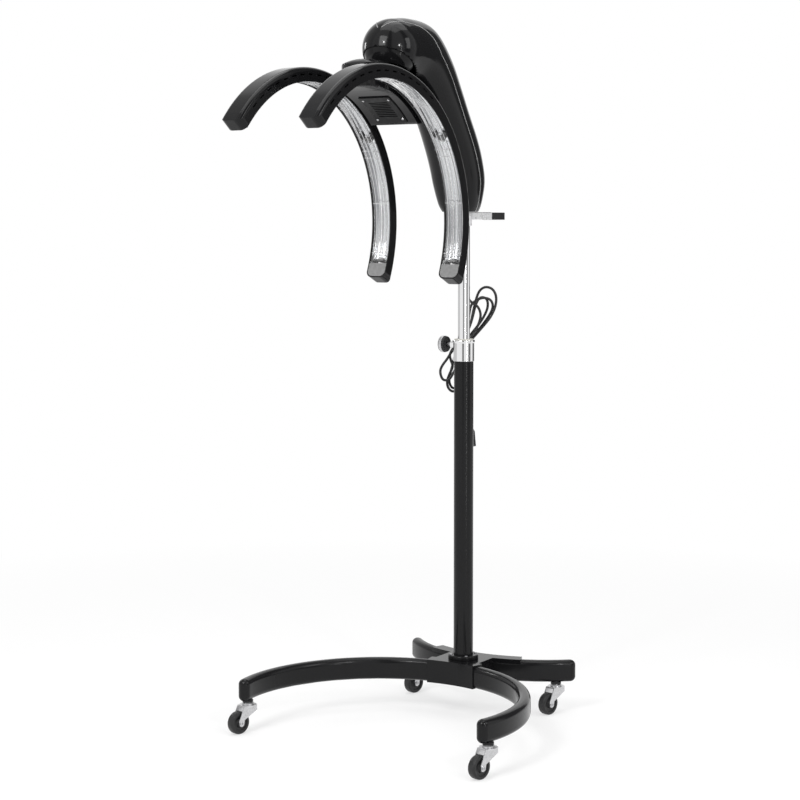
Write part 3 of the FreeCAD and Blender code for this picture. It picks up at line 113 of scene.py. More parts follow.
def facing(place, axis, roll=0.0):
    """The place of a piece that is made about its own upright axis and then turned along another."""
    turn = Vector(axis).to_track_quat("Z", "Y").to_matrix().to_4x4()
    return Matrix.Translation(place) @ turn @ Matrix.Rotation(roll, 4, "Z")


def arm_frame(x, radius, angle):
    """The place of a piece on an arm: X across, Y along the arc to the rear, Z outward."""
    turn = math.radians(angle)
    along = Vector((0.0, math.cos(turn), -math.sin(turn)))
    outward = Vector((0.0, math.sin(turn), math.cos(turn)))
    axes = Matrix((Vector((1.0, 0.0, 0.0)), along, outward)).transposed().to_4x4()
    return Matrix.Translation(arm_point(x, radius, angle)) @ axes


def panel_place(across, up, depth):
    """The place of a piece on the operator's panel: X to the reader's right, Y up the slope, Z outward."""
    turn = math.radians(PANEL_LEAN)
    slope = Vector((0.0, -math.sin(turn), math.cos(turn)))
    outward = Vector((0.0, math.cos(turn), math.sin(turn)))
    axes = Matrix((Vector((-1.0, 0.0, 0.0)), slope, outward)).transposed().to_4x4()
    centre = at(-across, PANEL_Y, PANEL_Z) + (slope * up + outward * depth) * MM
    return Matrix.Translation(centre) @ axes


LEAD_TURN = math.radians(33.5)


def lead_point(right, behind, z):
    """A point of the power lead, measured square to the plane that the lead is gathered in."""
    x = right * math.cos(LEAD_TURN) - behind * math.sin(LEAD_TURN)
    y = right * math.sin(LEAD_TURN) + behind * math.cos(LEAD_TURN)
    return at(x, y, z)


# ---------------------------------------------------------------- sizes and colours


class LeadSizes(bpy.types.PropertyGroup):
    """Sizes of the power lead."""

    diameter: bpy.props.FloatProperty(
        name="Diameter", description="Outside diameter of the lead", default=0.006, min=0.003, unit="LENGTH"
    )
    length: bpy.props.FloatProperty(
        name="Length", description="Whole length of the lead", default=2.0, min=0.5, unit="LENGTH"
    )


class StudioSettings(bpy.types.PropertyGroup):
    """The camera and the lights."""

    azimuth: bpy.props.FloatProperty(
        name="Azimuth", description="Direction of the camera round the stand", default=0.5805, subtype="ANGLE"
    )
    pitch: bpy.props.FloatProperty(
        name="Pitch", description="How far the camera looks down", default=0.0543, subtype="ANGLE"
    )
    lens: bpy.props.FloatProperty(
        name="Lens", description="Focal length of the camera", default=85.14, subtype="DISTANCE_CAMERA"
    )
    key_power: bpy.props.FloatProperty(
        name="Key light", description="Power of the key light", default=34.0, subtype="POWER"
    )
    spark_power: bpy.props.FloatProperty(
        name="Spark lights", description="Power of the small lights that the dome mirrors", default=12.0,
        subtype="POWER"
    )
    floor_colour: bpy.props.FloatVectorProperty(
        name="Floor", description="Colour of the floor", default=(0.97, 0.97, 0.97), subtype="COLOR", size=3
    )


class FinishColours(bpy.types.PropertyGroup):
    """Colours of the finishes."""

    paint: bpy.props.FloatVectorProperty(
        name="Paint", description="Stand paint",
        default=(0.008, 0.008, 0.0085), subtype="COLOR", size=3
    )
    moulding: bpy.props.FloatVectorProperty(
        name="Moulding", description="Gloss housing plastic",
        default=(0.006, 0.006, 0.0065), subtype="COLOR", size=3
    )
    satin: bpy.props.FloatVectorProperty(
        name="Satin plastic", description="Knobs and caps",
        default=(0.014, 0.014, 0.015), subtype="COLOR", size=3
    )
    steel: bpy.props.FloatVectorProperty(
        name="Steel", description="Plated steel",
        default=(0.62, 0.62, 0.63), subtype="COLOR", size=3
    )
    rubber: bpy.props.FloatVectorProperty(
        name="Rubber", description="Lead and wheels",
        default=(0.014, 0.014, 0.0145), subtype="COLOR", size=3
    )


# ---------------------------------------------------------------- materials


class Field:
    """A value that varies over a surface: one node socket that takes part in Python arithmetic."""

    def __init__(self, tree, socket):
        self.tree = tree
        self.socket = socket

    def maths(self, operation, *values):
        node = self.tree.nodes.new("ShaderNodeMath")
        node.operation = operation
        for target, value in zip(node.inputs, values):
            plug(target, value)
        return Field(self.tree, node.outputs[0])

    def __add__(self, other):
        return self.maths("ADD", self, other)

    __radd__ = __add__

    def __sub__(self, other):
        return self.maths("SUBTRACT", self, other)

    def __rsub__(self, other):
        return self.maths("SUBTRACT", other, self)

    def __mul__(self, other):
        return self.maths("MULTIPLY", self, other)

    __rmul__ = __mul__

    def __pow__(self, other):
        return self.maths("POWER", self, other)

    def __abs__(self):
        return self.maths("ABSOLUTE", self)


def plug(target, value):
    """Links a field to a socket, or sets the socket to a plain value."""
    if isinstance(value, Field):
        value.tree.links.new(value.socket, target)
    else:
        target.default_value = value


class Web:
    """A tree of shader nodes."""

    def __init__(self, tree):
        self.tree = tree

    def node(self, kind, settings=None, output=0, sockets=None, **values):
        """Any node: its type, the settings that come first, then its sockets by number or by name."""
        made = self.tree.nodes.new(kind)
        for name, value in (settings or {}).items():
            setattr(made, name, value)
        for number, value in (sockets or {}).items():
            plug(made.inputs[number], value)
        for name, value in values.items():
            plug(made.inputs[name.replace("_", " ")], value)
        return Field(self.tree, made.outputs[output])

    def between(self, field, low, high, to_low=0.0, to_high=1.0):
        """The field's span from low to high, carried to another span and held at its ends."""
        return self.node("ShaderNodeMapRange", Value=field, From_Min=low, From_Max=high,
                         To_Min=to_low, To_Max=to_high)

    def blend(self, factor, first, second):
        """Two colours mixed by a field."""
        return self.node("ShaderNodeMix", {"data_type": "RGBA"}, 2, {0: factor, 6: first, 7: second})


class Finish(Web):
    """A material whose surface is one Principled shader fed by expressions."""

    def __init__(self, name, **plain):
        self.material = bpy.data.materials.new(name)
        self.material.use_nodes = True
        super().__init__(self.material.node_tree)
        self.shader = self.tree.nodes["Principled BSDF"]
        self.place = self.node("ShaderNodeTexCoord", output="Object")
        self.feed(**plain)

    def feed(self, **values):
        for name, value in values.items():
            plug(self.shader.inputs[name.replace("_", " ")], value)
        return self

    def stretched(self, scale):
        return self.node("ShaderNodeMapping", Vector=self.place, Scale=scale)

    def noise(self, scale, detail=3.0, roughness=0.5, stretch=(1.0, 1.0, 1.0)):
        return self.node("ShaderNodeTexNoise", Vector=self.stretched(stretch), Scale=scale, Detail=detail,
                         Roughness=roughness)

    def specks(self, scale):
        return self.node("ShaderNodeTexVoronoi", output="Distance", Vector=self.place, Scale=scale)

    def relief(self, height, strength, distance=0.001):
        normal = self.node("ShaderNodeBump", Height=height, Strength=strength, Distance=distance)
        return self.feed(Normal=normal)

    def axis(self, letter):
        return self.node("ShaderNodeSeparateXYZ", output=letter, Vector=self.place)


def tone(colour, factor):
    """A colour made darker or lighter."""
    return (*(min(channel * factor, 1.0) for channel in colour), 1.0)


def gloss_black(name, colour, roughness, gloss):
    """Black lacquer or polished moulding: faint orange peel, wipe marks and a little dust."""
    made = Finish(name, Roughness=roughness, IOR=1.48, Specular_IOR_Level=gloss)
    wipes = made.noise(7.0, 3.0, 0.55, (1.0, 1.0, 0.35))
    dust = made.between(made.noise(430.0, 2.0, 0.7), 0.66, 0.80)
    haze = made.between(wipes, 0.40, 0.75)
    made.feed(Base_Color=made.blend(dust * 0.22 + haze * 0.10, tone(colour, 1.0), tone(colour, 2.4)))
    made.feed(Roughness=made.between(wipes, 0.3, 0.8, roughness, roughness + 0.05))
    peel = made.noise(240.0, 2.0, 0.5) * 0.5 + wipes * 0.2
    return made.relief(peel, 0.006)


def satin_black(name, colour, gloss=0.3):
    """Moulded satin plastic with a fine spark-eroded grain and rubbed patches."""
    made = Finish(name, Roughness=0.42, IOR=1.48, Specular_IOR_Level=gloss)
    grain = made.noise(1900.0, 2.0, 0.6)
    rubbed = made.between(made.noise(38.0, 4.0, 0.6), 0.45, 0.7)
    made.feed(Base_Color=made.blend(rubbed * 0.5 + grain * 0.2, tone(colour, 0.8), tone(colour, 1.7)))
    made.feed(Roughness=0.44 - rubbed * 0.14 + grain * 0.06)
    return made.relief(grain, 0.08, 0.0004)


def polished_chrome(name):
    """Plated tube: lengthwise polishing lines, faint smears and pin marks."""
    made = Finish(name, Metallic=1.0)
    lines = made.noise(900.0, 2.0, 0.5, (1.0, 1.0, 0.012))
    smears = made.noise(16.0, 3.0, 0.6)
    pits = made.between(made.noise(700.0, 1.0, 0.5), 0.72, 0.84)
    marks = smears * 0.35 + pits * 0.5
    made.feed(Base_Color=made.blend(marks, (0.84, 0.84, 0.845, 1), (0.66, 0.66, 0.67, 1)))
    made.feed(Roughness=made.between(smears, 0.35, 0.8, 0.03, 0.09) + lines * 0.03)
    return made.relief(lines, 0.01, 0.0003)


def zinc_plate(name, colour, metallic=1.0):
    """Zinc-plated pressing: cloudy crystals, press marks and dull edges."""
    made = Finish(name, Metallic=metallic)
    crystals = made.specks(260.0)
    clouds = made.noise(55.0, 4.0, 0.65)
    mixed = crystals * 0.4 + clouds * 0.5
    made.feed(Base_Color=made.blend(mixed, tone(colour, 0.7), tone(colour, 1.2)))
    made.feed(Roughness=0.20 + clouds * 0.16)
    return made.relief(made.noise(600.0, 3.0, 0.6) + crystals * 0.3, 0.05, 0.0004)


def wheel_tread(name, colour):
    """Dark tread of a caster wheel with floor dust and a moulded lustre."""
    made = Finish(name, Roughness=0.45, IOR=1.5, Specular_IOR_Level=0.3)
    dust = made.between(made.noise(90.0, 5.0, 0.65), 0.45, 0.72)
    made.feed(Base_Color=made.blend(dust * 0.5, tone(colour, 1.2), tone(colour, 2.8)))
    made.feed(Roughness=0.34 + dust * 0.3)
    return made.relief(made.noise(800.0, 3.0, 0.6), 0.10, 0.0005)


def bright_reflector(name):
    """Rolled bright aluminium with rolling lines along the trough and faint clouds. The dark streaks are
    partly rolling lines and partly painted dark reflection lines.
    """
    made = Finish(name, Metallic=1.0)
    rolled = (1.0, 0.02, 0.02)
    fine = made.noise(520.0, 2.0, 0.5, rolled)
    broad = made.noise(170.0, 1.0, 0.4, rolled)
    rolling_lines_and_reflections = made.between(broad, 0.50, 0.62)
    clouds = made.noise(26.0, 3.0, 0.6)
    mixed = rolling_lines_and_reflections * 0.7 + fine * 0.15 + clouds * 0.05
    # the streaks darken the metal's colour: rolling lines, and painted dark reflection lines
    made.feed(Base_Color=made.blend(mixed, (1.0, 1.0, 1.0, 1), (0.42, 0.42, 0.43, 1)))
    made.feed(Roughness=0.08 + rolling_lines_and_reflections * 0.08 + clouds * 0.04)
    return made.relief(broad + fine * 0.3, 0.02, 0.0004)


def quartz(name):
    """Clear quartz tube with a faint haze."""
    made = Finish(name, Transmission_Weight=1.0, IOR=1.45, Roughness=0.03)
    haze = made.noise(60.0, 3.0, 0.6)
    made.feed(Base_Color=made.blend(haze, (0.92, 0.93, 0.94, 1), (0.80, 0.82, 0.84, 1)))
    made.feed(Roughness=haze * 0.06)
    return made


def pale_ceramic(name):
    """Grey frosted ceramic with a mottle."""
    made = Finish(name, Roughness=0.5, IOR=1.5)
    mottle = made.noise(130.0, 4.0, 0.6)
    made.feed(Base_Color=made.blend(mottle, (0.27, 0.27, 0.27, 1), (0.14, 0.14, 0.14, 1)))
    made.feed(Roughness=0.30 + mottle * 0.3)
    return made.relief(mottle, 0.1, 0.0005)


def plated_wire(name, colour):
    """Nickel-plated wire, a little dulled where it was bent."""
    made = Finish(name, Metallic=1.0)
    wear = made.noise(240.0, 3.0, 0.6)
    made.feed(Base_Color=made.blend(wear, tone(colour, 1.1), tone(colour, 0.6)))
    made.feed(Roughness=0.14 + wear * 0.2)
    return made.relief(wear, 0.05, 0.0002)


def heating_wire(name):
    """Wound resistance wire with a dark scale."""
    made = Finish(name, Metallic=1.0)
    scale = made.noise(900.0, 3.0, 0.6)
    made.feed(Base_Color=made.blend(scale, (0.42, 0.41, 0.40, 1), (0.24, 0.23, 0.22, 1)))
    made.feed(Roughness=0.35 + scale * 0.2)
    return made


def cable_sheath(name, colour):
    """Flexible lead: a soft sheen with fine rings and scuffs along it."""
    made = Finish(name, Roughness=0.4, IOR=1.5, Specular_IOR_Level=0.35)
    scuffs = made.between(made.noise(150.0, 4.0, 0.6), 0.45, 0.75)
    made.feed(Base_Color=made.blend(scuffs, tone(colour, 0.9), tone(colour, 2.2)))
    made.feed(Roughness=0.34 + scuffs * 0.22)
    return made.relief(made.noise(900.0, 2.0, 0.5), 0.08, 0.0003)


def natural_nylon(name):
    """Undyed nylon that has yellowed a little."""
    made = Finish(name, Roughness=0.45, IOR=1.5)
    clouds = made.noise(80.0, 3.0, 0.5)
    made.feed(Base_Color=made.blend(clouds, (0.62, 0.61, 0.56, 1), (0.48, 0.47, 0.43, 1)))
    made.feed(Roughness=0.4 + clouds * 0.2)
    return made.relief(made.noise(900.0, 2.0, 0.5), 0.08, 0.0003)


def printed_ink(name):
    """Pale screen-printed ink, thin and slightly worn."""
    made = Finish(name, Roughness=0.5, IOR=1.5)
    worn = made.noise(600.0, 3.0, 0.6)
    made.feed(Base_Color=made.blend(worn, (0.78, 0.78, 0.78, 1), (0.55, 0.55, 0.55, 1)))
    made.feed(Roughness=0.45 + worn * 0.2)
    return made


FINISHES = {}


def mix_finishes():
    """Makes every finish once, by the name that the pieces use."""
    colours = bpy.context.scene.processor_colours
    mixes = {
        "stand_paint": (gloss_black, colours.paint, 0.15, 0.20),
        "housing_gloss": (gloss_black, colours.moulding, 0.10, 0.22),
        "satin_plastic": (satin_black, colours.satin),
        "column_chrome": (polished_chrome,),
        "zinc_pressing": (zinc_plate, colours.steel),
        "plain_steel": (zinc_plate, (0.35, 0.35, 0.36)),
        "wheel_tread": (wheel_tread, colours.rubber),
        "lamp_reflector": (bright_reflector,),
        "lamp_quartz": (quartz,),
        "lamp_ceramic": (pale_ceramic,),
        "guard_wire": (plated_wire, (0.85, 0.85, 0.86)),
        "lead_sheath": (cable_sheath, colours.rubber),
        "guide_nylon": (natural_nylon,),
        "bracket_steel": (zinc_plate, (0.80, 0.80, 0.81), 0.35),
        # the seam bead's light grey is a painted highlight along the parting line
        "seam_gasket": (satin_black, (0.27, 0.27, 0.27)),
        "louvre_plastic": (satin_black, (0.012, 0.012, 0.0125), 0.15),
        "panel_face": (satin_black, (0.02, 0.02, 0.021)),
        "heating_wire": (heating_wire,),
        "panel_ink": (printed_ink,),
    }
    for name, (mix, *values) in mixes.items():
        FINISHES[name] = mix(name, *values)


# ---------------------------------------------------------------- making pieces

# In metres: points nearer than CLOSE are one in a new shape, and nearer than WELD in a solid's copy.
CLOSE = 1e-6
WELD = 1e-5
FLIPPED = Matrix.Rotation(math.pi, 4, "X")


def show(name, shape, finish, body, stands_for=(), smooth=40.0):
    """Puts a finished shape in the scene as a piece of the object."""
    mesh = bpy.data.meshes.new(name)
    shape.to_mesh(mesh)
    shape.free()
    mesh.materials.append(FINISHES[finish].material)
    piece = bpy.data.objects.new(name, mesh)
    bpy.context.scene.collection.objects.link(piece)
    if smooth:
        mesh.shade_smooth()
        mesh.set_sharp_from_angle(angle=math.radians(smooth))
    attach(piece, body)
    if stands_for:
        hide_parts(*stands_for)
    return piece


def stand_in(name, shape, finish, *nodes, smooth=40.0):
    """Shows a piece in place of one or more solids, on the first one's body."""
    return show(name, shape, finish, NODE_BODY[nodes[0]], nodes, smooth)


def joined(shapes):
    """Several shapes as one."""
    whole = bmesh.new()
    carrier = bpy.data.meshes.new("carrier")
    for shape in shapes:
        shape.to_mesh(carrier)
        shape.free()
        whole.from_mesh(carrier)
    bpy.data.meshes.remove(carrier)
    return whole


def placed(shape, matrix):
    bmesh.ops.transform(shape, matrix=matrix, verts=shape.verts[:])
    return shape


def closed_up(shape):
    """Joins the shape's meeting points and turns its faces outward."""
    bmesh.ops.remove_doubles(shape, verts=shape.verts[:], dist=CLOSE)
    bmesh.ops.recalc_face_normals(shape, faces=shape.faces[:])
    return shape


def turned(profile, steps, place=Matrix()):
    """A shape turned about its upright axis, from a profile of (radius, height) in millimetres."""
    shape = bmesh.new()
    verts = [shape.verts.new((radius * MM, 0.0, height * MM)) for radius, height in profile]
    edges = [shape.edges.new(pair) for pair in zip(verts[:-1], verts[1:])]
    bmesh.ops.spin(shape, geom=verts + edges, axis=(0.0, 0.0, 1.0), angle=math.tau, steps=steps,
                   use_merge=True)
    return placed(closed_up(shape), place)


def rounded(shape, edges, width, segments):
    bmesh.ops.bevel(shape, geom=edges, offset=width * MM, segments=segments, profile=0.5, affect="EDGES",
                    material=-1, clamp_overlap=True)
    return shape


def block(size, place, corner=0.0, edge=0.0):
    """A block of a width, length and height on its place, with its upright corners and top edge rounded."""
    width, length, height = (measure * MM for measure in size)
    shape = bmesh.new()
    scale = Matrix.Diagonal((width, length, height, 1.0))
    bmesh.ops.create_cube(shape, size=1.0, matrix=Matrix.Translation((0.0, 0.0, height / 2)) @ scale)
    if corner:
        upright = [item for item in shape.edges if abs(item.verts[0].co.z - item.verts[1].co.z) > CLOSE]
        rounded(shape, upright, corner, segments=5)
    if edge:
        top = [item for item in shape.edges if min(vert.co.z for vert in item.verts) > height - CLOSE]
        rounded(shape, top, edge, segments=3)
    return placed(shape, place)


def skin(sides, rows, point):
    """A tube or dome rolled up from a grid: point gives a place for shares 0 to 1 round it and along it."""
    shape = bmesh.new()
    bmesh.ops.create_grid(shape, x_segments=sides, y_segments=rows, size=0.5)
    for vert in shape.verts:
        vert.co = point(vert.co.x + 0.5, vert.co.y + 0.5)
    return closed_up(shape)


def wire(line, radius, sides, steps):
    """A round wire along a line, which is a function of the share of its length."""
    nudge = 0.001
    sideways = 0.9

    def place(round_share, along):
        here = line(along)
        heading = (line(min(along + nudge, 1.0)) - line(max(along - nudge, 0.0))).normalized()
        across = heading.orthogonal() if abs(heading.x) > sideways else heading.cross(Vector((1.0, 0.0, 0.0)))
        across.normalize()
        turn = math.tau * round_share
        return here + (across * math.cos(turn) + heading.cross(across) * math.sin(turn)) * radius * MM

    shape = skin(sides, steps, place)
    bmesh.ops.holes_fill(shape, edges=[edge for edge in shape.edges if edge.is_boundary])
    return shape


def cut_through(shape, place, normal):
    """Adds edges where a plane meets the shape."""
    geometry = shape.verts[:] + shape.edges[:] + shape.faces[:]
    bmesh.ops.bisect_plane(shape, geom=geometry, dist=CLOSE, plane_co=place, plane_no=normal)


def fluted(shape, count, first, last, above, depth):
    """Flutes in a turned wall between two radii and above a height. depth gives their depth at a radius."""
    for vert in shape.verts:
        reach = math.hypot(vert.co.x, vert.co.y)
        if first * MM < reach < last * MM and vert.co.z > above * MM:
            wave = max(0.0, math.cos(math.atan2(vert.co.y, vert.co.x) * count)) ** 2
            scale = 1.0 - depth(reach) * wave / reach
            vert.co.x *= scale
            vert.co.y *= scale
    return shape


def merged(node):
    """A copy of a solid's mesh with its loose triangles joined into whole faces."""
    shape = bmesh.new()
    shape.from_mesh(NODES[node].data)
    bmesh.ops.remove_doubles(shape, verts=shape.verts[:], dist=WELD)
    bmesh.ops.dissolve_limit(shape, angle_limit=math.radians(1.0), verts=shape.verts[:], edges=shape.edges[:])
    return shape


def corners_of(shape, least_turn=32.0):
    return [edge for edge in shape.edges
            if len(edge.link_faces) == 2 and edge.calc_face_angle() > math.radians(least_turn)]


def even_shading(piece):
    """Keeps flat faces flat to the eye beside their softened edges."""
    even = piece.modifiers.new("Even shading", "WEIGHTED_NORMAL")
    even.keep_sharp = True
    even.weight = 90
    return piece


def walled(piece, thickness, offset):
    """Gives a thin piece its wall, inward for an offset of -1 and outward for 1."""
    wall = piece.modifiers.new("Wall", "SOLIDIFY")
    wall.thickness = thickness * MM
    wall.offset = offset
    return wall


def softened(node, finish, width, segments=2):
    """Stands in for a solid with the same form and softened edges."""
    shape = merged(node)
    rounded(shape, corners_of(shape), width, segments)
    return even_shading(stand_in(node + "_soft", shape, finish, node))


# ---------------------------------------------------------------- solids that stay

NODE_FINISH = {
    "stand_paint": ["mast_tube"],
    "satin_plastic": ["caster_sockets", "fan_frame", "power_plug"],
    "louvre_plastic": ["louvre_panel"],
    "housing_gloss": ["tilt_ball"],
    "column_chrome": ["column_tube"],
    "zinc_pressing": ["clamp_screw", "arm_hinge_pins"],
    "plain_steel": ["hub_block", "mast_anchor", "housing_frame"],
    "lamp_reflector": ["reflector_right", "reflector_left"],
    "lamp_quartz": ["lamp_tubes_right", "lamp_tubes_left"],
    "lamp_ceramic": ["lamp_holders_right", "lamp_holders_left"],
    "guide_nylon": ["guide_bush", "clamp_pad", "column_foot"],
}


class PROCESSOR_OT_finish_solids(bpy.types.Operator):
    """Gives every solid that stays in view its finish"""

    bl_idname = "processor.finish_solids"
    bl_label = "Finish the solids"

    def execute(self, context):
        mix_finishes()
        for finish, names in NODE_FINISH.items():
            for name in names:
                dress(name, finish)
        for name in NODES:
            if name.startswith("caster_fork_"):
                dress(name, "zinc_pressing")
        return {"FINISHED"}


def dress(name, finish):
    slots = NODES[name].material_slots
    if not slots:
        NODES[name].data.materials.append(FINISHES[finish].material)
    for slot in slots:
        slot.material = FINISHES[finish].material


# ---------------------------------------------------------------- rear housing

LAST_ROW = len(HOUSING_SECTIONS) - 1
HOOD_SIDES = 65
HOOD_STEPS = 5
HOOD_WALL = 2.4
DOME_ROWS = 16
MOUTH_HEEL = 0.94
SEAM_RADIUS = 0.9
SEAM_RISE = 0.15
SEAM_PATH = (
    # the row of the housing's sections, and how far behind the centre line the parting line lies there
    (0.0, 0.0), (7.0, 0.0), (7.8, 0.03), (8.2, 0.18), (8.5, 0.39), (8.8, 0.57), (9.1, 0.68), (9.5, 0.76),
    (10.0, 0.845), (10.3, 0.93), (10.5, 0.985), (10.6, 1.0),
)
PLINTH_WIDTH = 54.0
PLINTH_LENGTH = 112.0
PLINTH_SUNK = 4.0


def section_at(row):
    """The housing's centre line and section between two of its drawn sections, on one smooth curve."""
    index = min(int(row), LAST_ROW - 1)
    t = row - index
    nearest = [HOUSING_SECTIONS[min(max(index + shift, 0), LAST_ROW)] for shift in (-1, 0, 1, 2)]
    return [0.5 * (2 * q + (r - p) * t + (2 * p - 5 * q + 4 * r - s) * t * t
                   + (3 * q - p - 3 * r + s) * t ** 3)
            for p, q, r, s in zip(*nearest)]


def hood_place(turn, row, grow=0.0):
    """A point of the housing: turn goes round its section, and row climbs it and then rounds the dome."""
    if row <= LAST_ROW:
        y, z, lean, half_width, half_depth, roundness = section_at(row)
    else:
        over = (row - LAST_ROW) * math.pi / 2
        y, z = DOME[1] - DOME_RADIUS * math.sin(over), DOME[2]
        half_width = half_depth = DOME_RADIUS * math.cos(over)
        lean, roundness = 90.0, 1.0
    cosine, sine = math.cos(turn), math.sin(turn)
    across = (half_width + grow) * math.copysign(abs(cosine) ** roundness, cosine)
    depth = (half_depth + grow) * math.copysign(abs(sine) ** roundness, sine)
    lean = math.radians(lean)
    return at(across, y + depth * math.cos(lean), z + depth * math.sin(lean))


class PROCESSOR_OT_make_hood(bpy.types.Operator):
    """Makes the rear housing with its dome, its open mouth, the seam bead with its painted highlight and the
    panel's plinth
    """

    bl_idname = "processor.make_hood"
    bl_label = "Make the rear housing"

    def execute(self, context):
        rows = LAST_ROW * HOOD_STEPS + DOME_ROWS + 1
        climb = [index / HOOD_STEPS for index in range(LAST_ROW * HOOD_STEPS)]
        climb += [LAST_ROW + index / DOME_ROWS for index in range(DOME_ROWS + 1)]
        shape = skin(HOOD_SIDES, rows,
                     lambda turn, along: hood_place(turn * math.tau, climb[round(along * (rows - 1))]))
        self.open_mouth(shape)
        hood = stand_in("rear_hood", shape, "housing_gloss", "housing_front", "housing_rear")
        walled(hood, HOOD_WALL, -1.0).use_even_offset = True
        self.make_seam()
        self.make_plinth()
        return {"FINISHED"}

    def open_mouth(self, shape):
        """Cuts the dome off below its tilted rim, from its front back to the heel."""
        down = Vector((0.0, -math.sin(RIM_TILT), -math.cos(RIM_TILT)))
        along = Vector((0.0, math.cos(RIM_TILT), -math.sin(RIM_TILT)))
        rim = at(*DOME) + down * RIM_DROP * MM
        heel = rim + along * MOUTH_HEEL * DOME_RADIUS * MM
        cut_through(shape, rim, down)
        cut_through(shape, heel, along)
        gone = []
        for face in shape.faces:
            centre = face.calc_center_median()
            if (centre - rim).dot(down) > 0 and (centre - heel).dot(along) < 0:
                gone.append(face)
        bmesh.ops.delete(shape, geom=gone, context="FACES")

    def make_seam(self):
        """The parting line runs up one side, over the dome's brow and down the other side. Its bead is light
        grey: a painted highlight along the parting line.
        """

        def line(share):
            row = (2.0 * share if share <= 0.5 else 2.0 - 2.0 * share) * SEAM_PATH[-1][0]
            here = next(index for index in range(1, len(SEAM_PATH)) if row <= SEAM_PATH[index][0] + 1e-9)
            (row_low, low), (row_high, high) = SEAM_PATH[here - 1], SEAM_PATH[here]
            level = low + (high - low) * (row - row_low) / (row_high - row_low)
            turn = math.asin(min(level ** (1.0 / section_at(min(row, LAST_ROW))[5]), 1.0))
            return hood_place(turn if share <= 0.5 else math.pi - turn, row, SEAM_RISE)

        seam = wire(line, SEAM_RADIUS, sides=6, steps=241)
        show("housing_seam_highlight", seam, "seam_gasket", "column")

    def make_plinth(self):
        plinth = block((PLINTH_WIDTH, PLINTH_LENGTH, PLINTH_RISE + PLINTH_SUNK),
                       panel_place(0.0, 0.0, PANEL_SURFACE - PLINTH_SUNK), corner=6.0, edge=1.6)
        show("panel_plinth", plinth, "housing_gloss", "column")


# ---------------------------------------------------------------- centre unit

CENTRE_HALF_WIDTH = 60.0
CENTRE_CROWN = 26.0
CROWN_CURVE = 2.5
CROWN_CUTS = (-0.92, -0.8, -0.65, -0.45, -0.2, 0.0, 0.2, 0.45, 0.65, 0.8, 0.92)
CROWN_FOOT = 326.0
CROWN_SPAN = 26.0
RIM_REACH = 330.0
RIM_TURN = 38.0
RIM_ROUNDING = 5.0
LOUVRE_FACE = 286.6
LOUVRE_SCREWS = ((-32.0, 26.6), (-32.0, 40.0), (32.0, 26.6), (32.0, 40.0))
SCREW_PROFILE = ((0.0, 1.2), (1.54, 1.2), (2.52, 0.744), (2.8, 0.0), (2.52, -0.6), (0.0, -0.6))
# the dark bar that fills each screw slot is painted shade in the slot
SLOT_SHADE_BAR = (3.64, 0.616, 0.25)
SLOT_SHADE_RISE = Matrix.Translation((0.0, 0.0, 1.0 * MM))
FIRST_SCREW_TURN = 0.9


class PROCESSOR_OT_make_centre_unit(bpy.types.Operator):
    """Makes the crowned centre unit and the screws of its louvre panel"""

    bl_idname = "processor.make_centre_unit"
    bl_label = "Make the centre unit"

    def execute(self, context):
        shape = merged("centre_housing")
        for share in CROWN_CUTS:
            cut_through(shape, at(share * CENTRE_HALF_WIDTH, 0, 0), (1.0, 0.0, 0.0))
        axis = at(0.0, ARM_CENTRE_Y, ARM_CENTRE_Z)

        def reach(vert):
            return math.hypot(vert.co.y - axis.y, vert.co.z - axis.z) / MM

        for vert in shape.verts:
            weight = min(max((reach(vert) - CROWN_FOOT) / CROWN_SPAN, 0.0), 1.0)
            weight = weight * weight * (3.0 - 2.0 * weight)
            side = min(abs(vert.co.x - axis.x) / MM / CENTRE_HALF_WIDTH, 1.0)
            vert.co.z -= CENTRE_CROWN * MM * weight * side ** CROWN_CURVE
        bmesh.ops.dissolve_limit(shape, angle_limit=math.radians(0.5), verts=shape.verts[:],
                                 edges=shape.edges[:])
        rim = [edge for edge in corners_of(shape, RIM_TURN)
               if all(reach(vert) > RIM_REACH for vert in edge.verts)]
        rounded(shape, rim, RIM_ROUNDING, segments=4)
        even_shading(stand_in("centre_unit", shape, "housing_gloss", "centre_housing"))
        self.make_screws()
        return {"FINISHED"}

    def make_screws(self):
        """Pan heads, each turned its own way, and dark bars in their slots that are painted shade."""
        heads, slots = [], []
        for side, angle in LOUVRE_SCREWS:
            turn = Matrix.Rotation(FIRST_SCREW_TURN + side, 4, "Z")
            place = arm_frame(side, LOUVRE_FACE, angle) @ FLIPPED @ turn
            heads.append(turned(SCREW_PROFILE, 24, place))
            # the dark bar in the slot is painted shade
            slots.append(block(SLOT_SHADE_BAR, place @ SLOT_SHADE_RISE))
        stand_in("louvre_screws", joined(heads), "zinc_pressing", "panel_screws")
        show("louvre_screw_slot_shade", joined(slots), "satin_plastic", "head")


# ---------------------------------------------------------------- lamp arms

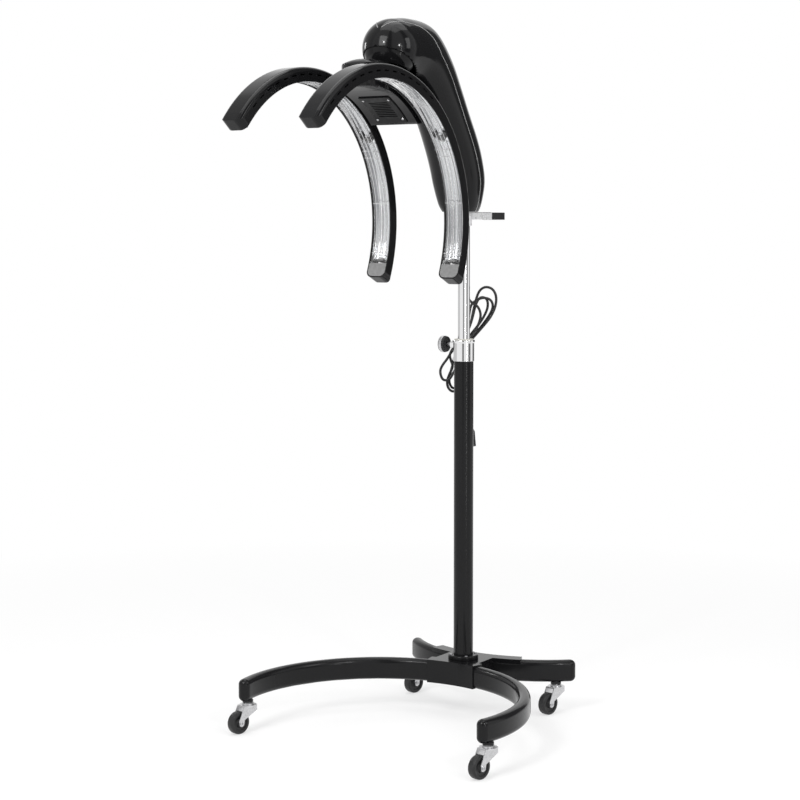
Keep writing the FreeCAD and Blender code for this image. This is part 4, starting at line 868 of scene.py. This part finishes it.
ARM_SOFT_EDGES = {"shell": 0.5, "nose_cap": 1.0, "tail_cap": 1.0}
ARM_SCREWS = {
    # where the small screws sit: across the arm's inner face, and the angle along it
    "right": ((97.0, -49.6), (115.7, -49.6), (86.6, -46.0)),
    "left": ((-87.5, -49.6), (-72.3, -49.6)),
}
ARM_SCREW_PROFILE = ((0.0, 1.0), (1.6, 0.9), (2.4, 0.4), (2.6, -0.4), (0.0, -0.4))
LAMP_ARC = 304.0
LAMP_BREAKS = (-44.5, 13.6, 53.0, 107.0)
LAMP_END = 3.0
COIL_RADIUS = 1.2
COIL_WIRE = 0.26
COIL_TURNS_A_DEGREE = 0.9
GUARD_X = (-14.0, -4.7, 4.7, 14.0)
GUARD_CROSS = (-46.0, -20.0, 8.0, 34.0, 58.0, 61.4, 82.0, 103.5)
GUARD_ARC = 292.9
GUARD_WIRE = 0.85
GUARD_CROSS_ARC = 293.6
GUARD_CROSS_WIRE = 0.8
GUARD_HALF_WIDTH = 22.0
CLIP_SIZE = (10.0, 1.8, 9.5)
CLIP_ARC = 308.0
CLIP_SHIFTS = (-1.6, 1.6)


class PROCESSOR_OT_make_arms(bpy.types.Operator):
    """Makes the lamp arms' shells and caps with softened edges, and their small screws"""

    bl_idname = "processor.make_arms"
    bl_label = "Make the lamp arms"

    def execute(self, context):
        for side in SIDES:
            for part, width in ARM_SOFT_EDGES.items():
                softened("arm_" + part + "_" + side, "housing_gloss", width)
        for side, spots in ARM_SCREWS.items():
            heads = [turned(ARM_SCREW_PROFILE, 20, arm_frame(x, ARM_INNER, angle) @ FLIPPED)
                     for x, angle in spots]
            show("arm_screws_" + side, joined(heads), "zinc_pressing", "arm_" + side)
        return {"FINISHED"}


class PROCESSOR_OT_make_lamps(bpy.types.Operator):
    """Makes the heating wires, the lamp clamps and the round wire guards of both arms"""

    bl_idname = "processor.make_lamps"
    bl_label = "Make the lamps"

    def execute(self, context):
        for side, way in SIDES.items():
            body = "arm_" + side
            x = way * ARM_OFFSET
            coils = [self.coil(x, first + LAMP_END, last - LAMP_END)
                     for first, last in zip(LAMP_BREAKS[:-1], LAMP_BREAKS[1:])]
            show("lamp_coils_" + side, joined(coils), "heating_wire", body)
            wires = [self.long_wire(x + offset) for offset in GUARD_X]
            wires += [self.cross_wire(x, angle) for angle in GUARD_CROSS]
            stand_in("guard_wires_" + side, joined(wires), "guard_wire", "wire_guard_" + side)
            clips = [block(CLIP_SIZE, arm_frame(x, CLIP_ARC, angle + shift) @ FLIPPED, corner=0.6, edge=0.4)
                     for angle in LAMP_BREAKS[1:] for shift in CLIP_SHIFTS]
            show("lamp_clips_" + side, joined(clips), "bracket_steel", body)
        return {"FINISHED"}

    def long_wire(self, x):
        first, last = GUARD_CROSS[0], GUARD_CROSS[-1]

        def line(share):
            return arm_point(x, GUARD_ARC, first + (last - first) * share)

        return wire(line, GUARD_WIRE, sides=8, steps=64)

    def cross_wire(self, x, angle):
        def line(share):
            return arm_point(x + GUARD_HALF_WIDTH * (2.0 * share - 1.0), GUARD_CROSS_ARC, angle)

        return wire(line, GUARD_CROSS_WIRE, sides=8, steps=5)

    def coil(self, x, first, last):
        turns = round((last - first) * COIL_TURNS_A_DEGREE)

        def line(share):
            swing = math.tau * turns * share
            return arm_point(x + COIL_RADIUS * math.cos(swing), LAMP_ARC + COIL_RADIUS * math.sin(swing),
                             first + (last - first) * share)

        return wire(line, COIL_WIRE, sides=4, steps=turns * 10)


# ---------------------------------------------------------------- column, clamp and handle

CLAMP_Z = 852.0
CLAMP_AXIS = (-1.0, 0.0, 0.0)
COLLAR_PROFILE = (
    (22.6, 815.0), (24.2, 815.0), (24.5, 815.4), (24.5, 816.0), (24.5, 856.4), (24.5, 857.0), (24.9, 857.8),
    (25.7, 858.3), (26.0, 859.0), (26.0, 861.6), (25.6, 862.6), (24.8, 863.0), (19.1, 863.0), (19.1, 858.0),
    (22.6, 855.0), (22.6, 815.0),
)
BOSS_BORE = 3.2
BOSS_RADIUS = 8.0
BOSS_ROOT = 20.0
BOSS_CHAMFER = 0.8
RIVET_PLACE = (20.6, -13.3, 828.0)
RIVET_AXIS = (0.84, -0.54, 0.0)
RIVET_PROFILE = ((0.0, 1.4), (1.6, 1.2), (2.6, 0.4), (2.8, -0.8), (0.0, -0.8))
KNOB_X = -45.0
KNOB_FLUTES = 20
KNOB_FLUTE_DEPTH = 1.3
KNOB_PROFILE = (
    (6.0, 0.0), (16.2, 0.0), (17.6, 0.5), (18.0, 1.6), (18.3, 3.0), (19.0, 4.2), (19.0, 12.6), (18.5, 14.0),
    (17.3, 14.9), (15.0, 15.0), (12.6, 14.4), (11.6, 13.2), (0.0, 13.0),
)
KNOB_BAND = ((17.0, 5.6), (18.9, 5.6), (19.15, 6.0), (19.15, 12.0), (18.9, 12.6), (17.0, 12.6), (17.0, 5.6))
GRIP_SIZE = (27.0, 62.0, 17.0)
GRIP_PLACE = (0.0, 133.0, 1138.5)
STRIP_SIZE = (24.0, 74.0, 1.1)
STRIP_PLACE = (0.0, 65.5, 1154.9)


class PROCESSOR_OT_make_column(bpy.types.Operator):
    """Makes the clamp collar, its fluted knob and the handle"""

    bl_idname = "processor.make_column"
    bl_label = "Make the column's fittings"

    def execute(self, context):
        self.make_collar()
        softened("handle_bracket", "bracket_steel", 0.9, 3)
        grip = block(GRIP_SIZE, Matrix.Translation(at(*GRIP_PLACE)), corner=3.0, edge=1.4)
        stand_in("handle_sleeve", grip, "satin_plastic", "handle_grip")
        strip = block(STRIP_SIZE, Matrix.Translation(at(*STRIP_PLACE)), corner=1.0, edge=0.4)
        show("handle_strip", strip, "satin_plastic", "column")
        self.make_knob()
        rivet = turned(RIVET_PROFILE, 20, facing(at(*RIVET_PLACE), RIVET_AXIS))
        show("collar_rivet", rivet, "plain_steel", "stand")
        return {"FINISHED"}

    def make_collar(self):
        """The turned sleeve, and the boss that the clamp's screw runs in."""
        end = (MAST.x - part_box("clamp_collar")[0].x) / MM
        profile = [(BOSS_BORE, BOSS_ROOT), (BOSS_RADIUS, BOSS_ROOT), (BOSS_RADIUS, end - BOSS_CHAMFER),
                   (BOSS_RADIUS - BOSS_CHAMFER, end), (BOSS_BORE, end), (BOSS_BORE, BOSS_ROOT)]
        boss = turned(profile, 36, facing(at(0.0, 0.0, CLAMP_Z), CLAMP_AXIS))
        sleeve = turned(COLLAR_PROFILE, 72, Matrix.Translation(at(0.0, 0.0, 0.0)))
        even_shading(stand_in("collar_sleeve", joined([sleeve, boss]), "column_chrome", "clamp_collar",
                              smooth=30.0))

    def make_knob(self):
        """A fluted grip with a plain rim and a dished face, and the bright band round it."""
        place = facing(at(KNOB_X, 0.0, CLAMP_Z), CLAMP_AXIS)
        shape = turned(KNOB_PROFILE, KNOB_FLUTES * 6)
        fluted(shape, KNOB_FLUTES, first=18.2, last=20.0, above=-1.0,
               depth=lambda reach: KNOB_FLUTE_DEPTH * MM)
        stand_in("clamp_grip", placed(shape, place), "satin_plastic", "clamp_knob", smooth=35.0)
        band = turned(KNOB_BAND, 72, place)
        show("clamp_grip_band", band, "zinc_pressing", "clamp_handle", smooth=30.0)


# ---------------------------------------------------------------- operator's controls

PANEL_TOP = PANEL_SURFACE + PLINTH_RISE + PANEL_THICKNESS
DIALS = (
    # the dial, how far up the panel it is, its last number, the step between numbers, and its span in degrees
    ("timer_dial", -28.0, 60, 10, 300.0),
    ("heat_dial", 16.0, 4, 1, 270.0),
)
DIAL_PROFILE = (
    (0.0, 10.9), (8.2, 10.9), (9.4, 10.4), (9.9, 9.2), (10.3, 3.4), (11.4, 2.4), (13.4, 1.7), (13.9, 1.0),
    (13.9, 0.2), (0.0, 0.2),
)
DIAL_FLUTES = 16
DIAL_FLUTE_SHARE = 0.06
DIAL_INLAYS = (
    # the pointer on the dial's top and its mark on the skirt: size, how far out and up, corner and edge
    ((1.2, 7.0, 0.5), 4.6, 10.6, 0.3, 0.15),
    ((0.9, 2.6, 0.5), 12.3, 1.5, 0.2, 0.1),
)
NUMBER_SIZE = 4.0
NUMBER_REACH = 18.4
TICK_SIZE = (0.5, 1.6)
TICK_REACH = 15.1
INK = 0.12
INK_RISE = 0.08
BUTTON_UP = 43.0
BUTTON_WORDS = (("ON", -14.5), ("OFF", 14.5))
BUTTON_WORD_SIZE = 3.6
BUTTON_PROFILE = ((0.0, 3.9), (4.6, 3.7), (5.8, 3.1), (6.3, 1.6), (6.4, 0.1), (0.0, 0.1))
BUTTON_COLLAR = ((7.2, 0.0), (7.2, 0.9), (8.6, 0.9), (9.2, 0.3), (9.3, -0.4), (7.2, -0.4), (7.2, 0.0))


def lettering(words, size, across, up):
    """Printed words or numbers on the operator's panel, as a thin raised shape."""
    curve = bpy.data.curves.new("lettering", "FONT")
    curve.body = words
    curve.size = size * MM
    curve.extrude = INK * MM / 2
    curve.align_x = "CENTER"
    curve.align_y = "CENTER"
    curve.resolution_u = 3
    holder = bpy.data.objects.new("lettering", curve)
    mesh = bpy.data.meshes.new_from_object(holder)
    shape = bmesh.new()
    shape.from_mesh(mesh)
    bpy.data.objects.remove(holder)
    bpy.data.curves.remove(curve)
    bpy.data.meshes.remove(mesh)
    return placed(shape, panel_place(across, up, PANEL_TOP + INK_RISE))


class PROCESSOR_OT_make_controls(bpy.types.Operator):
    """Makes the operator's plate, both dials with their scales, and the power button"""

    bl_idname = "processor.make_controls"
    bl_label = "Make the controls"

    def execute(self, context):
        softened("control_panel", "panel_face", 0.5)
        for node, up, *_ in DIALS:
            self.make_dial(node, panel_place(0.0, up, PANEL_TOP))
        printed = [mark for _, *scale in DIALS for mark in self.scale_marks(*scale)]
        printed += [lettering(word, BUTTON_WORD_SIZE, across, BUTTON_UP) for word, across in BUTTON_WORDS]
        show("panel_printing", joined(printed), "panel_ink", "column", smooth=0.0)
        place = panel_place(0.0, BUTTON_UP, PANEL_TOP)
        stand_in("power_button_cap", turned(BUTTON_PROFILE, 40, place), "satin_plastic", "power_button")
        show("button_collar", turned(BUTTON_COLLAR, 40, place), "satin_plastic", "column")
        return {"FINISHED"}

    def make_dial(self, node, place):
        """A stepped dial with a fluted wall, a plain skirt and a raised pointer."""
        shape = turned(DIAL_PROFILE, DIAL_FLUTES * 6)
        fluted(shape, DIAL_FLUTES, first=9.3, last=10.8, above=3.0,
               depth=lambda reach: DIAL_FLUTE_SHARE * reach)
        stand_in(node + "_knob", placed(shape, place), "satin_plastic", node, smooth=30.0)
        inlays = [block(size, place @ Matrix.Translation((0.0, out * MM, rise * MM)), corner, edge)
                  for size, out, rise, corner, edge in DIAL_INLAYS]
        show(node + "_pointer", joined(inlays), "panel_ink", NODE_BODY[node])

    def scale_marks(self, up, last, step, span):
        """The numbers and ticks round a dial."""
        marks = []
        for value in range(0, last + 1, step):
            turn = math.radians(-span * value / last)
            marks.append(lettering(str(value), NUMBER_SIZE, -NUMBER_REACH * math.sin(turn),
                                   up + NUMBER_REACH * math.cos(turn)))
            tick = panel_place(0.0, up, PANEL_TOP) @ Matrix.Rotation(turn, 4, "Z")
            marks.append(block((*TICK_SIZE, INK), tick @ Matrix.Translation((0.0, TICK_REACH * MM, 0.0))))
        return marks


# ---------------------------------------------------------------- stand

STAND_SOFT_EDGES = (
    # the solid, its finish, and the width and steps of its softened edges
    ("base_cover", "housing_gloss", 1.2, 3),
    ("leg_end_caps", "housing_gloss", 0.8, 2),
    ("front_leg", "stand_paint", 0.6, 2),
    ("rear_leg", "stand_paint", 0.6, 2),
    ("mast_flange", "stand_paint", 1.0, 3),
)
BOLT_CIRCLE = 29.0
BOLT_PROFILE = ((0.0, 2.2), (2.2, 2.0), (3.4, 1.2), (3.7, 0.0), (0.0, 0.0))


class PROCESSOR_OT_make_stand(bpy.types.Operator):
    """Makes the legs, their caps, the base cover and the mast's foot with its bolts"""

    bl_idname = "processor.make_stand"
    bl_label = "Make the stand"

    def execute(self, context):
        for row in STAND_SOFT_EDGES:
            softened(*row)
        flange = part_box("mast_flange")[1].z / MM
        bolts = []
        for index in range(4):
            turn = math.radians(45.0 + 90.0 * index)
            place = at(BOLT_CIRCLE * math.cos(turn), BOLT_CIRCLE * math.sin(turn), flange)
            bolts.append(turned(BOLT_PROFILE, 20, Matrix.Translation(place)))
        show("flange_bolts", joined(bolts), "plain_steel", "stand")
        return {"FINISHED"}


CASTER_TURN = math.radians(-13.3)
HALF_TYRE = (
    # half of the wheel's section, from its bore out to the middle of its tread
    (3.4, 9.3), (7.6, 9.3), (8.8, 8.8), (9.2, 7.6), (10.6, 5.9), (15.8, 5.6), (17.2, 6.4), (17.9, 8.4),
    (18.8, 9.0), (22.2, 9.0), (24.0, 8.2), (24.9, 6.0), (25.0, 2.0),
)
OTHER_HALF = tuple((radius, -height) for radius, height in reversed(HALF_TYRE))
FORK_SIDE = Matrix.Translation((0.0, 0.0, 12.7 * MM))
AXLE_NUT = ((0.0, 2.4), (2.6, 2.2), (4.2, 1.2), (4.6, 0.0), (4.6, -0.2), (0.0, -0.2))
AXLE_HEAD = ((0.0, 2.0), (3.0, 1.7), (4.2, 0.8), (4.4, -0.2), (0.0, -0.2))


class PROCESSOR_OT_make_casters(bpy.types.Operator):
    """Makes the wheels with their tread, dished sides and hubs, and the axle nuts"""

    bl_idname = "processor.make_casters"
    bl_label = "Make the casters"

    def execute(self, context):
        for node in NODES:
            if node.startswith("caster_wheel_"):
                self.make_wheel(node)
        return {"FINISHED"}

    def make_wheel(self, node):
        place = facing(middle(node), (math.cos(CASTER_TURN), math.sin(CASTER_TURN), 0.0))
        tyre = turned(HALF_TYRE + OTHER_HALF + HALF_TYRE[:1], 64, place)
        stand_in(node + "_tyre", tyre, "wheel_tread", node, smooth=35.0)
        caps = [turned(AXLE_NUT, 6, place @ FORK_SIDE), turned(AXLE_HEAD, 24, place @ FLIPPED @ FORK_SIDE)]
        fork = node.replace("wheel", "fork")
        show(fork + "_nuts", joined(caps), "plain_steel", NODE_BODY[fork], smooth=20.0)


# ---------------------------------------------------------------- power lead

LEAD_ROUTE = (
    # down from the handle, behind the column, and over the first arch
    (8.0, 27.0, 1125.0), (8.0, 27.0, 1065.0), (7.0, 31.0, 1000.0), (10.0, 44.0, 957.0), (22.0, 57.0, 945.0),
    (35.0, 61.0, 938.0), (42.5, 61.0, 919.0), (38.0, 61.0, 898.0), (24.0, 61.0, 872.0), (1.0, 61.0, 846.0),
    # first lower loop
    (-16.0, 61.0, 841.0), (-27.0, 61.0, 831.0), (-36.0, 61.0, 815.0), (-48.0, 61.0, 800.0),
    (-54.0, 61.0, 785.0), (-47.0, 61.0, 764.0), (-30.0, 61.0, 766.0), (-20.0, 61.0, 787.0),
    (-6.0, 61.0, 806.0), (5.0, 63.0, 826.0),
    # widest upper loop
    (6.0, 67.0, 843.0), (26.0, 67.4, 866.0), (48.0, 67.4, 891.0), (66.0, 67.4, 913.0), (77.0, 67.4, 938.0),
    (78.5, 67.4, 962.0), (69.0, 67.4, 979.0), (52.0, 67.4, 983.5), (38.0, 67.4, 974.0), (30.5, 67.4, 953.0),
    (24.0, 67.4, 925.0), (17.5, 67.4, 890.0), (-1.0, 67.4, 864.0), (-10.0, 67.4, 853.0),
    # second lower loop
    (-21.0, 67.4, 842.0), (-31.0, 67.4, 826.0), (-28.0, 67.4, 811.0), (-22.0, 67.4, 797.0),
    (-30.0, 67.4, 781.0), (-37.0, 67.4, 763.0), (-35.0, 68.0, 747.0), (-24.0, 70.0, 736.0),
    (-7.0, 73.0, 742.0), (3.0, 73.8, 768.0), (10.0, 73.8, 800.0), (9.5, 73.8, 826.0),
    # second upper loop
    (7.0, 73.8, 843.0), (26.0, 73.8, 869.0), (46.0, 73.8, 893.0), (62.0, 73.8, 915.0), (72.0, 73.8, 936.0),
    (66.0, 73.8, 953.0), (48.0, 73.8, 958.0), (31.0, 73.8, 951.0), (19.0, 73.8, 941.0), (15.0, 73.8, 918.0),
    (12.0, 73.8, 888.0), (0.0, 73.8, 866.0), (-10.0, 73.8, 853.0),
    # third lower loop
    (-17.0, 74.0, 832.0), (-22.0, 75.0, 804.0), (-29.0, 76.0, 780.0), (-32.0, 78.0, 757.0),
    (-22.0, 79.5, 742.0), (-6.0, 80.2, 750.0), (2.0, 80.2, 776.0), (5.0, 80.2, 806.0), (3.0, 80.2, 830.0),
    # third upper loop
    (1.0, 80.2, 846.0), (20.0, 80.2, 872.0), (38.0, 80.2, 894.0), (51.0, 80.2, 914.0), (60.0, 80.2, 936.0),
    (57.0, 80.2, 956.0), (40.0, 80.2, 959.0), (30.0, 80.2, 940.0), (25.0, 80.2, 916.0), (16.0, 80.2, 886.0),
    (4.0, 80.2, 864.0), (-4.0, 80.0, 850.0),
    # tail
    (-9.0, 77.0, 828.0), (-12.0, 73.0, 800.0), (-14.0, 70.0, 776.0), (-14.0, 70.0, 752.0),
    (-10.0, 69.0, 722.0), (4.0, 62.0, 700.0), (15.0, 53.0, 684.0), (17.0, 46.0, 656.0),
)
RELIEF_TOP = 1139.0
RELIEF_LENGTH = 24.0
RELIEF_BORE = 3.05
RELIEF_RADIUS = 4.0
RELIEF_TAPER = 0.32
RELIEF_FIRST_RIB = -22.0
RELIEF_PITCH = 3.2
RELIEF_RIBS = 6
RIB_PROFILE = ((-0.7, -0.6), (0.0, 0.0), (0.0, 1.4), (-0.7, 2.0))
RELIEF_FLANGE = ((6.0, -2.6), (7.4, -2.4), (7.4, 0.0))
TIE_LEAN = math.radians(40.0)
TIE_PLACE = (-2.0, 70.6, 848.0)
TIE_HALF_WIDTH = 14.5
TIE_HALF_DEPTH = 15.5
TIE_HEIGHT = 10.0
TIE_WALL = 1.2


class PROCESSOR_OT_make_lead(bpy.types.Operator):
    """Makes the power lead with its gathered loops, its tie and its strain relief"""

    bl_idname = "processor.make_lead"
    bl_label = "Make the power lead"

    def execute(self, context):
        sizes = context.scene.processor_lead
        curve = bpy.data.curves.new("power_lead_line", "CURVE")
        curve.dimensions = "3D"
        line = curve.splines.new("NURBS")
        line.points.add(len(LEAD_ROUTE) - 1)
        for point, place in zip(line.points, LEAD_ROUTE):
            point.co = (*lead_point(*place), 1.0)
        line.order_u = 3
        line.use_endpoint_u = True
        line.resolution_u = 8
        curve.bevel_depth = sizes.diameter / 2
        curve.bevel_resolution = 4
        curve.use_fill_caps = True
        curve.materials.append(FINISHES["lead_sheath"].material)
        lead = bpy.data.objects.new("power_lead_flex", curve)
        context.scene.collection.objects.link(lead)
        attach(lead, "column")
        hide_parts("power_lead", "power_hank", "power_tail")
        lead_point(*LEAD_ROUTE[0])
        self.make_tie()
        self.make_relief()
        return {"FINISHED"}

    def make_tie(self):
        """A soft strap that holds the bundle at its waist."""
        shape = bmesh.new()
        bmesh.ops.create_circle(shape, segments=40, radius=1.0)
        grown = bmesh.ops.extrude_edge_only(shape, edges=shape.edges[:])
        upper = [item for item in grown["geom"] if isinstance(item, bmesh.types.BMVert)]
        bmesh.ops.translate(shape, verts=upper, vec=(0.0, 0.0, 1.0))
        start = lead_point(0, 0, 0)
        heading = (lead_point(math.sin(TIE_LEAN), 0, math.cos(TIE_LEAN)) - start).normalized()
        behind = (lead_point(0, 1, 0) - start).normalized()
        across = behind.cross(heading).normalized()
        place = lead_point(*TIE_PLACE) - heading * (TIE_HEIGHT / 2 * MM)
        axes = (across * TIE_HALF_WIDTH * MM, behind * TIE_HALF_DEPTH * MM, heading * TIE_HEIGHT * MM)
        placed(shape, Matrix.Translation(place) @ Matrix(axes).transposed().to_4x4())
        bmesh.ops.recalc_face_normals(shape, faces=shape.faces[:])
        tie = stand_in("power_lead_tie", shape, "satin_plastic", "power_tie")
        walled(tie, TIE_WALL, 1.0)
        return tie

    def make_relief(self):
        """A tapered, ribbed sleeve where the lead leaves the handle."""
        profile = [(RELIEF_BORE, -RELIEF_LENGTH)]
        for index in range(RELIEF_RIBS):
            low = RELIEF_FIRST_RIB + RELIEF_PITCH * index
            radius = RELIEF_RADIUS + RELIEF_TAPER * index
            profile += [(radius + out, low + up) for out, up in RIB_PROFILE]
        profile += [*RELIEF_FLANGE, (RELIEF_BORE, 0.0), profile[0]]
        exit_right, exit_behind, _ = LEAD_ROUTE[0]
        shape = turned(profile, 32, Matrix.Translation(lead_point(exit_right, exit_behind, RELIEF_TOP)))
        return stand_in("lead_strain_relief", shape, "satin_plastic", "cord_gland", smooth=35.0)


# ---------------------------------------------------------------- stage

WHITE = (1.0, 1.0, 1.0, 1.0)
FLOOR_RADIUS = 6.0
FLOOR_FADE = (0.5, 2.6)
FLOOR_GLOW = (0.55, 1.0)
AMBIENT = 0.55
STUDIO_FLAGS = (
    # where each dark flag stands, in degrees from the camera's side, its half width and how dark it is
    (-10.0, 5.0, 0.85), (62.0, 9.0, 0.85), (130.0, 20.0, 0.85), (-115.0, 28.0, 0.35),
)
FLAG_SOFT_EDGE = 7.0
LIT_BODY = (0.0, -100.0, 900.0)
CAMERA_PLACE = (2255.4, -3706.0, 1144.6)


class PROCESSOR_OT_set_stage(bpy.types.Operator):
    """Sets the floor, the lights, the surroundings and the camera"""

    bl_idname = "processor.set_stage"
    bl_label = "Set the stage"

    def execute(self, context):
        studio = context.scene.processor_studio
        make_floor(studio)
        make_world(studio)
        make_lights(studio)
        make_camera(studio)
        context.scene.view_settings.view_transform = "Standard"
        return {"FINISHED"}


def straight_rays(web):
    """One for what is seen straight, in a reflection or through glass, and none for the light that falls."""
    seen, glossy, passed = (web.node("ShaderNodeLightPath", output=name)
                            for name in ("Is Camera Ray", "Is Glossy Ray", "Is Transmission Ray"))
    return seen.maths("MAXIMUM", seen.maths("MAXIMUM", seen, glossy), passed)


def make_floor(studio):
    """A pale round sheet that keeps the shadows near the object and fades to white farther out."""
    shape = bmesh.new()
    bmesh.ops.create_circle(shape, cap_ends=True, segments=96, radius=FLOOR_RADIUS)
    mesh = bpy.data.meshes.new("studio_floor")
    shape.to_mesh(mesh)
    shape.free()
    made = Finish("floor_sheet", Roughness=0.7, Specular_IOR_Level=0.1)
    colour = studio.floor_colour
    made.feed(Base_Color=made.blend(made.noise(14.0), tone(colour, 1.0), tone(colour, 0.985)))
    east, north = made.axis(0), made.axis(1)
    reach = (east * east + north * north) ** 0.5
    fade = made.between(reach, *FLOOR_FADE, *FLOOR_GLOW)
    white = made.node("ShaderNodeEmission", Color=WHITE, Strength=1.0)
    mixed = made.node("ShaderNodeMixShader", Fac=fade * straight_rays(made),
                      sockets={1: Field(made.tree, made.shader.outputs[0]), 2: white})
    plug(made.tree.nodes["Material Output"].inputs["Surface"], mixed)
    mesh.materials.append(made.material)
    floor = bpy.data.objects.new("studio_floor", mesh)
    bpy.context.scene.collection.objects.link(floor)


def make_world(studio):
    """White to the eye, soft light on the object, and dark studio flags that polished surfaces reflect."""
    world = bpy.data.worlds.new("studio_surroundings")
    bpy.context.scene.world = world
    world.use_nodes = True
    web = Web(world.node_tree)
    direction = web.node("ShaderNodeTexCoord", output="Generated")
    east, north = (web.node("ShaderNodeSeparateXYZ", output=letter, Vector=direction) for letter in (0, 1))
    bearing = east.maths("ARCTAN2", east, north * -1.0) - studio.azimuth
    dark = None
    for flag_bearing, half_width, darkness in STUDIO_FLAGS:
        aside = abs(bearing - math.radians(flag_bearing))
        flag = web.between(aside, math.radians(half_width), math.radians(half_width + FLAG_SOFT_EDGE),
                           darkness, 0.0)
        dark = flag if dark is None else dark.maths("MAXIMUM", dark, flag)
    glossy = web.node("ShaderNodeLightPath", output="Is Glossy Ray")
    strength = (straight_rays(web) * (1.0 - AMBIENT) + AMBIENT) * (1.0 - dark * glossy)
    sky = world.node_tree.nodes["Background"]
    plug(sky.inputs["Color"], WHITE)
    plug(sky.inputs["Strength"], strength)


def area_light(name, place, target, size, power):
    lamp = bpy.data.lights.new(name, "AREA")
    lamp.shape = "RECTANGLE"
    lamp.size, lamp.size_y = size
    lamp.energy = power
    holder = bpy.data.objects.new(name, lamp)
    holder.location = place
    holder.rotation_euler = (Vector(target) - Vector(place)).to_track_quat("-Z", "Y").to_euler()
    bpy.context.scene.collection.objects.link(holder)


def bearing_line(bearing, rise):
    """A direction from a bearing round the object and an angle above the level."""
    return Vector((math.sin(bearing) * math.cos(rise), -math.cos(bearing) * math.cos(rise), math.sin(rise)))


def make_lights(studio):
    """Softboxes, a strip that lines the mast, and the small lights that the dome mirrors."""
    key, spark = studio.key_power, studio.spark_power
    body, dome = at(*LIT_BODY), at(*DOME)

    def aimed(name, bearing, height, distance, target, size, power):
        line = bearing_line(studio.azimuth + math.radians(bearing), math.radians(height))
        area_light(name, target + line * distance, target, size, power)

    aimed("key_softbox", -38.0, 34.0, 3.0, body, (1.2, 1.6), key)
    aimed("fill_softbox", 62.0, 26.0, 3.2, body, (0.9, 1.8), key * 0.6)
    area_light("top_softbox", (0.0, 0.2, 3.4), (0.0, 0.0, 0.0), (2.0, 2.0), key * 0.8)
    aimed("line_light", 32.5, 0.0, 3.0, body, (0.05, 2.4), spark * 0.7)
    aimed("left_spark", -33.0, 20.5, 2.6, dome, (0.22, 0.22), spark)
    aimed("right_spark", 27.6, 9.4, 2.6, dome, (0.2, 0.2), spark)
    aimed("rear_spark", -126.5, 8.0, 2.6, dome, (0.3, 0.5), spark * 0.5)


def make_camera(studio):
    data = bpy.data.cameras.new("studio_camera")
    data.sensor_width = 36.0
    data.lens = studio.lens
    data.shift_y = -0.1
    data.clip_start = 0.05
    data.clip_end = 50.0
    camera = bpy.data.objects.new("studio_camera", data)
    camera.location = at(*CAMERA_PLACE)
    camera.rotation_mode = "QUATERNION"
    camera.rotation_quaternion = (-bearing_line(studio.azimuth, studio.pitch)).to_track_quat("-Z", "Y")
    bpy.context.scene.collection.objects.link(camera)
    bpy.context.scene.camera = camera


# ---------------------------------------------------------------- panel and running

SETTINGS = {
    "processor_lead": LeadSizes,
    "processor_colours": FinishColours,
    "processor_studio": StudioSettings,
}


class PROCESSOR_PT_pieces(bpy.types.Panel):
    """Lists the pieces that can be made"""

    bl_label = "Hair colour processor"
    bl_space_type = "VIEW_3D"
    bl_region_type = "UI"
    bl_category = "Processor"

    def draw(self, context):
        for step in STEPS:
            self.layout.operator(step.bl_idname)
        for name, group in SETTINGS.items():
            for setting in group.__annotations__:
                self.layout.prop(getattr(context.scene, name), setting)


STEPS = (
    PROCESSOR_OT_finish_solids,
    PROCESSOR_OT_make_lead,
    PROCESSOR_OT_make_hood,
    PROCESSOR_OT_make_centre_unit,
    PROCESSOR_OT_make_arms,
    PROCESSOR_OT_make_lamps,
    PROCESSOR_OT_make_column,
    PROCESSOR_OT_make_controls,
    PROCESSOR_OT_make_stand,
    PROCESSOR_OT_make_casters,
    PROCESSOR_OT_set_stage,
)
CLASSES = (*SETTINGS.values(), *STEPS, PROCESSOR_PT_pieces)


def register():
    for item in CLASSES:
        bpy.utils.register_class(item)
    for name, group in SETTINGS.items():
        setattr(bpy.types.Scene, name, bpy.props.PointerProperty(type=group))


def unregister():
    for name in SETTINGS:
        delattr(bpy.types.Scene, name)
    for item in reversed(CLASSES):
        bpy.utils.unregister_class(item)


def main():
    register()
    for step in STEPS:
        group, name = step.bl_idname.split(".")
        getattr(getattr(bpy.ops, group), name)()


if __name__ == "__main__":
    main()
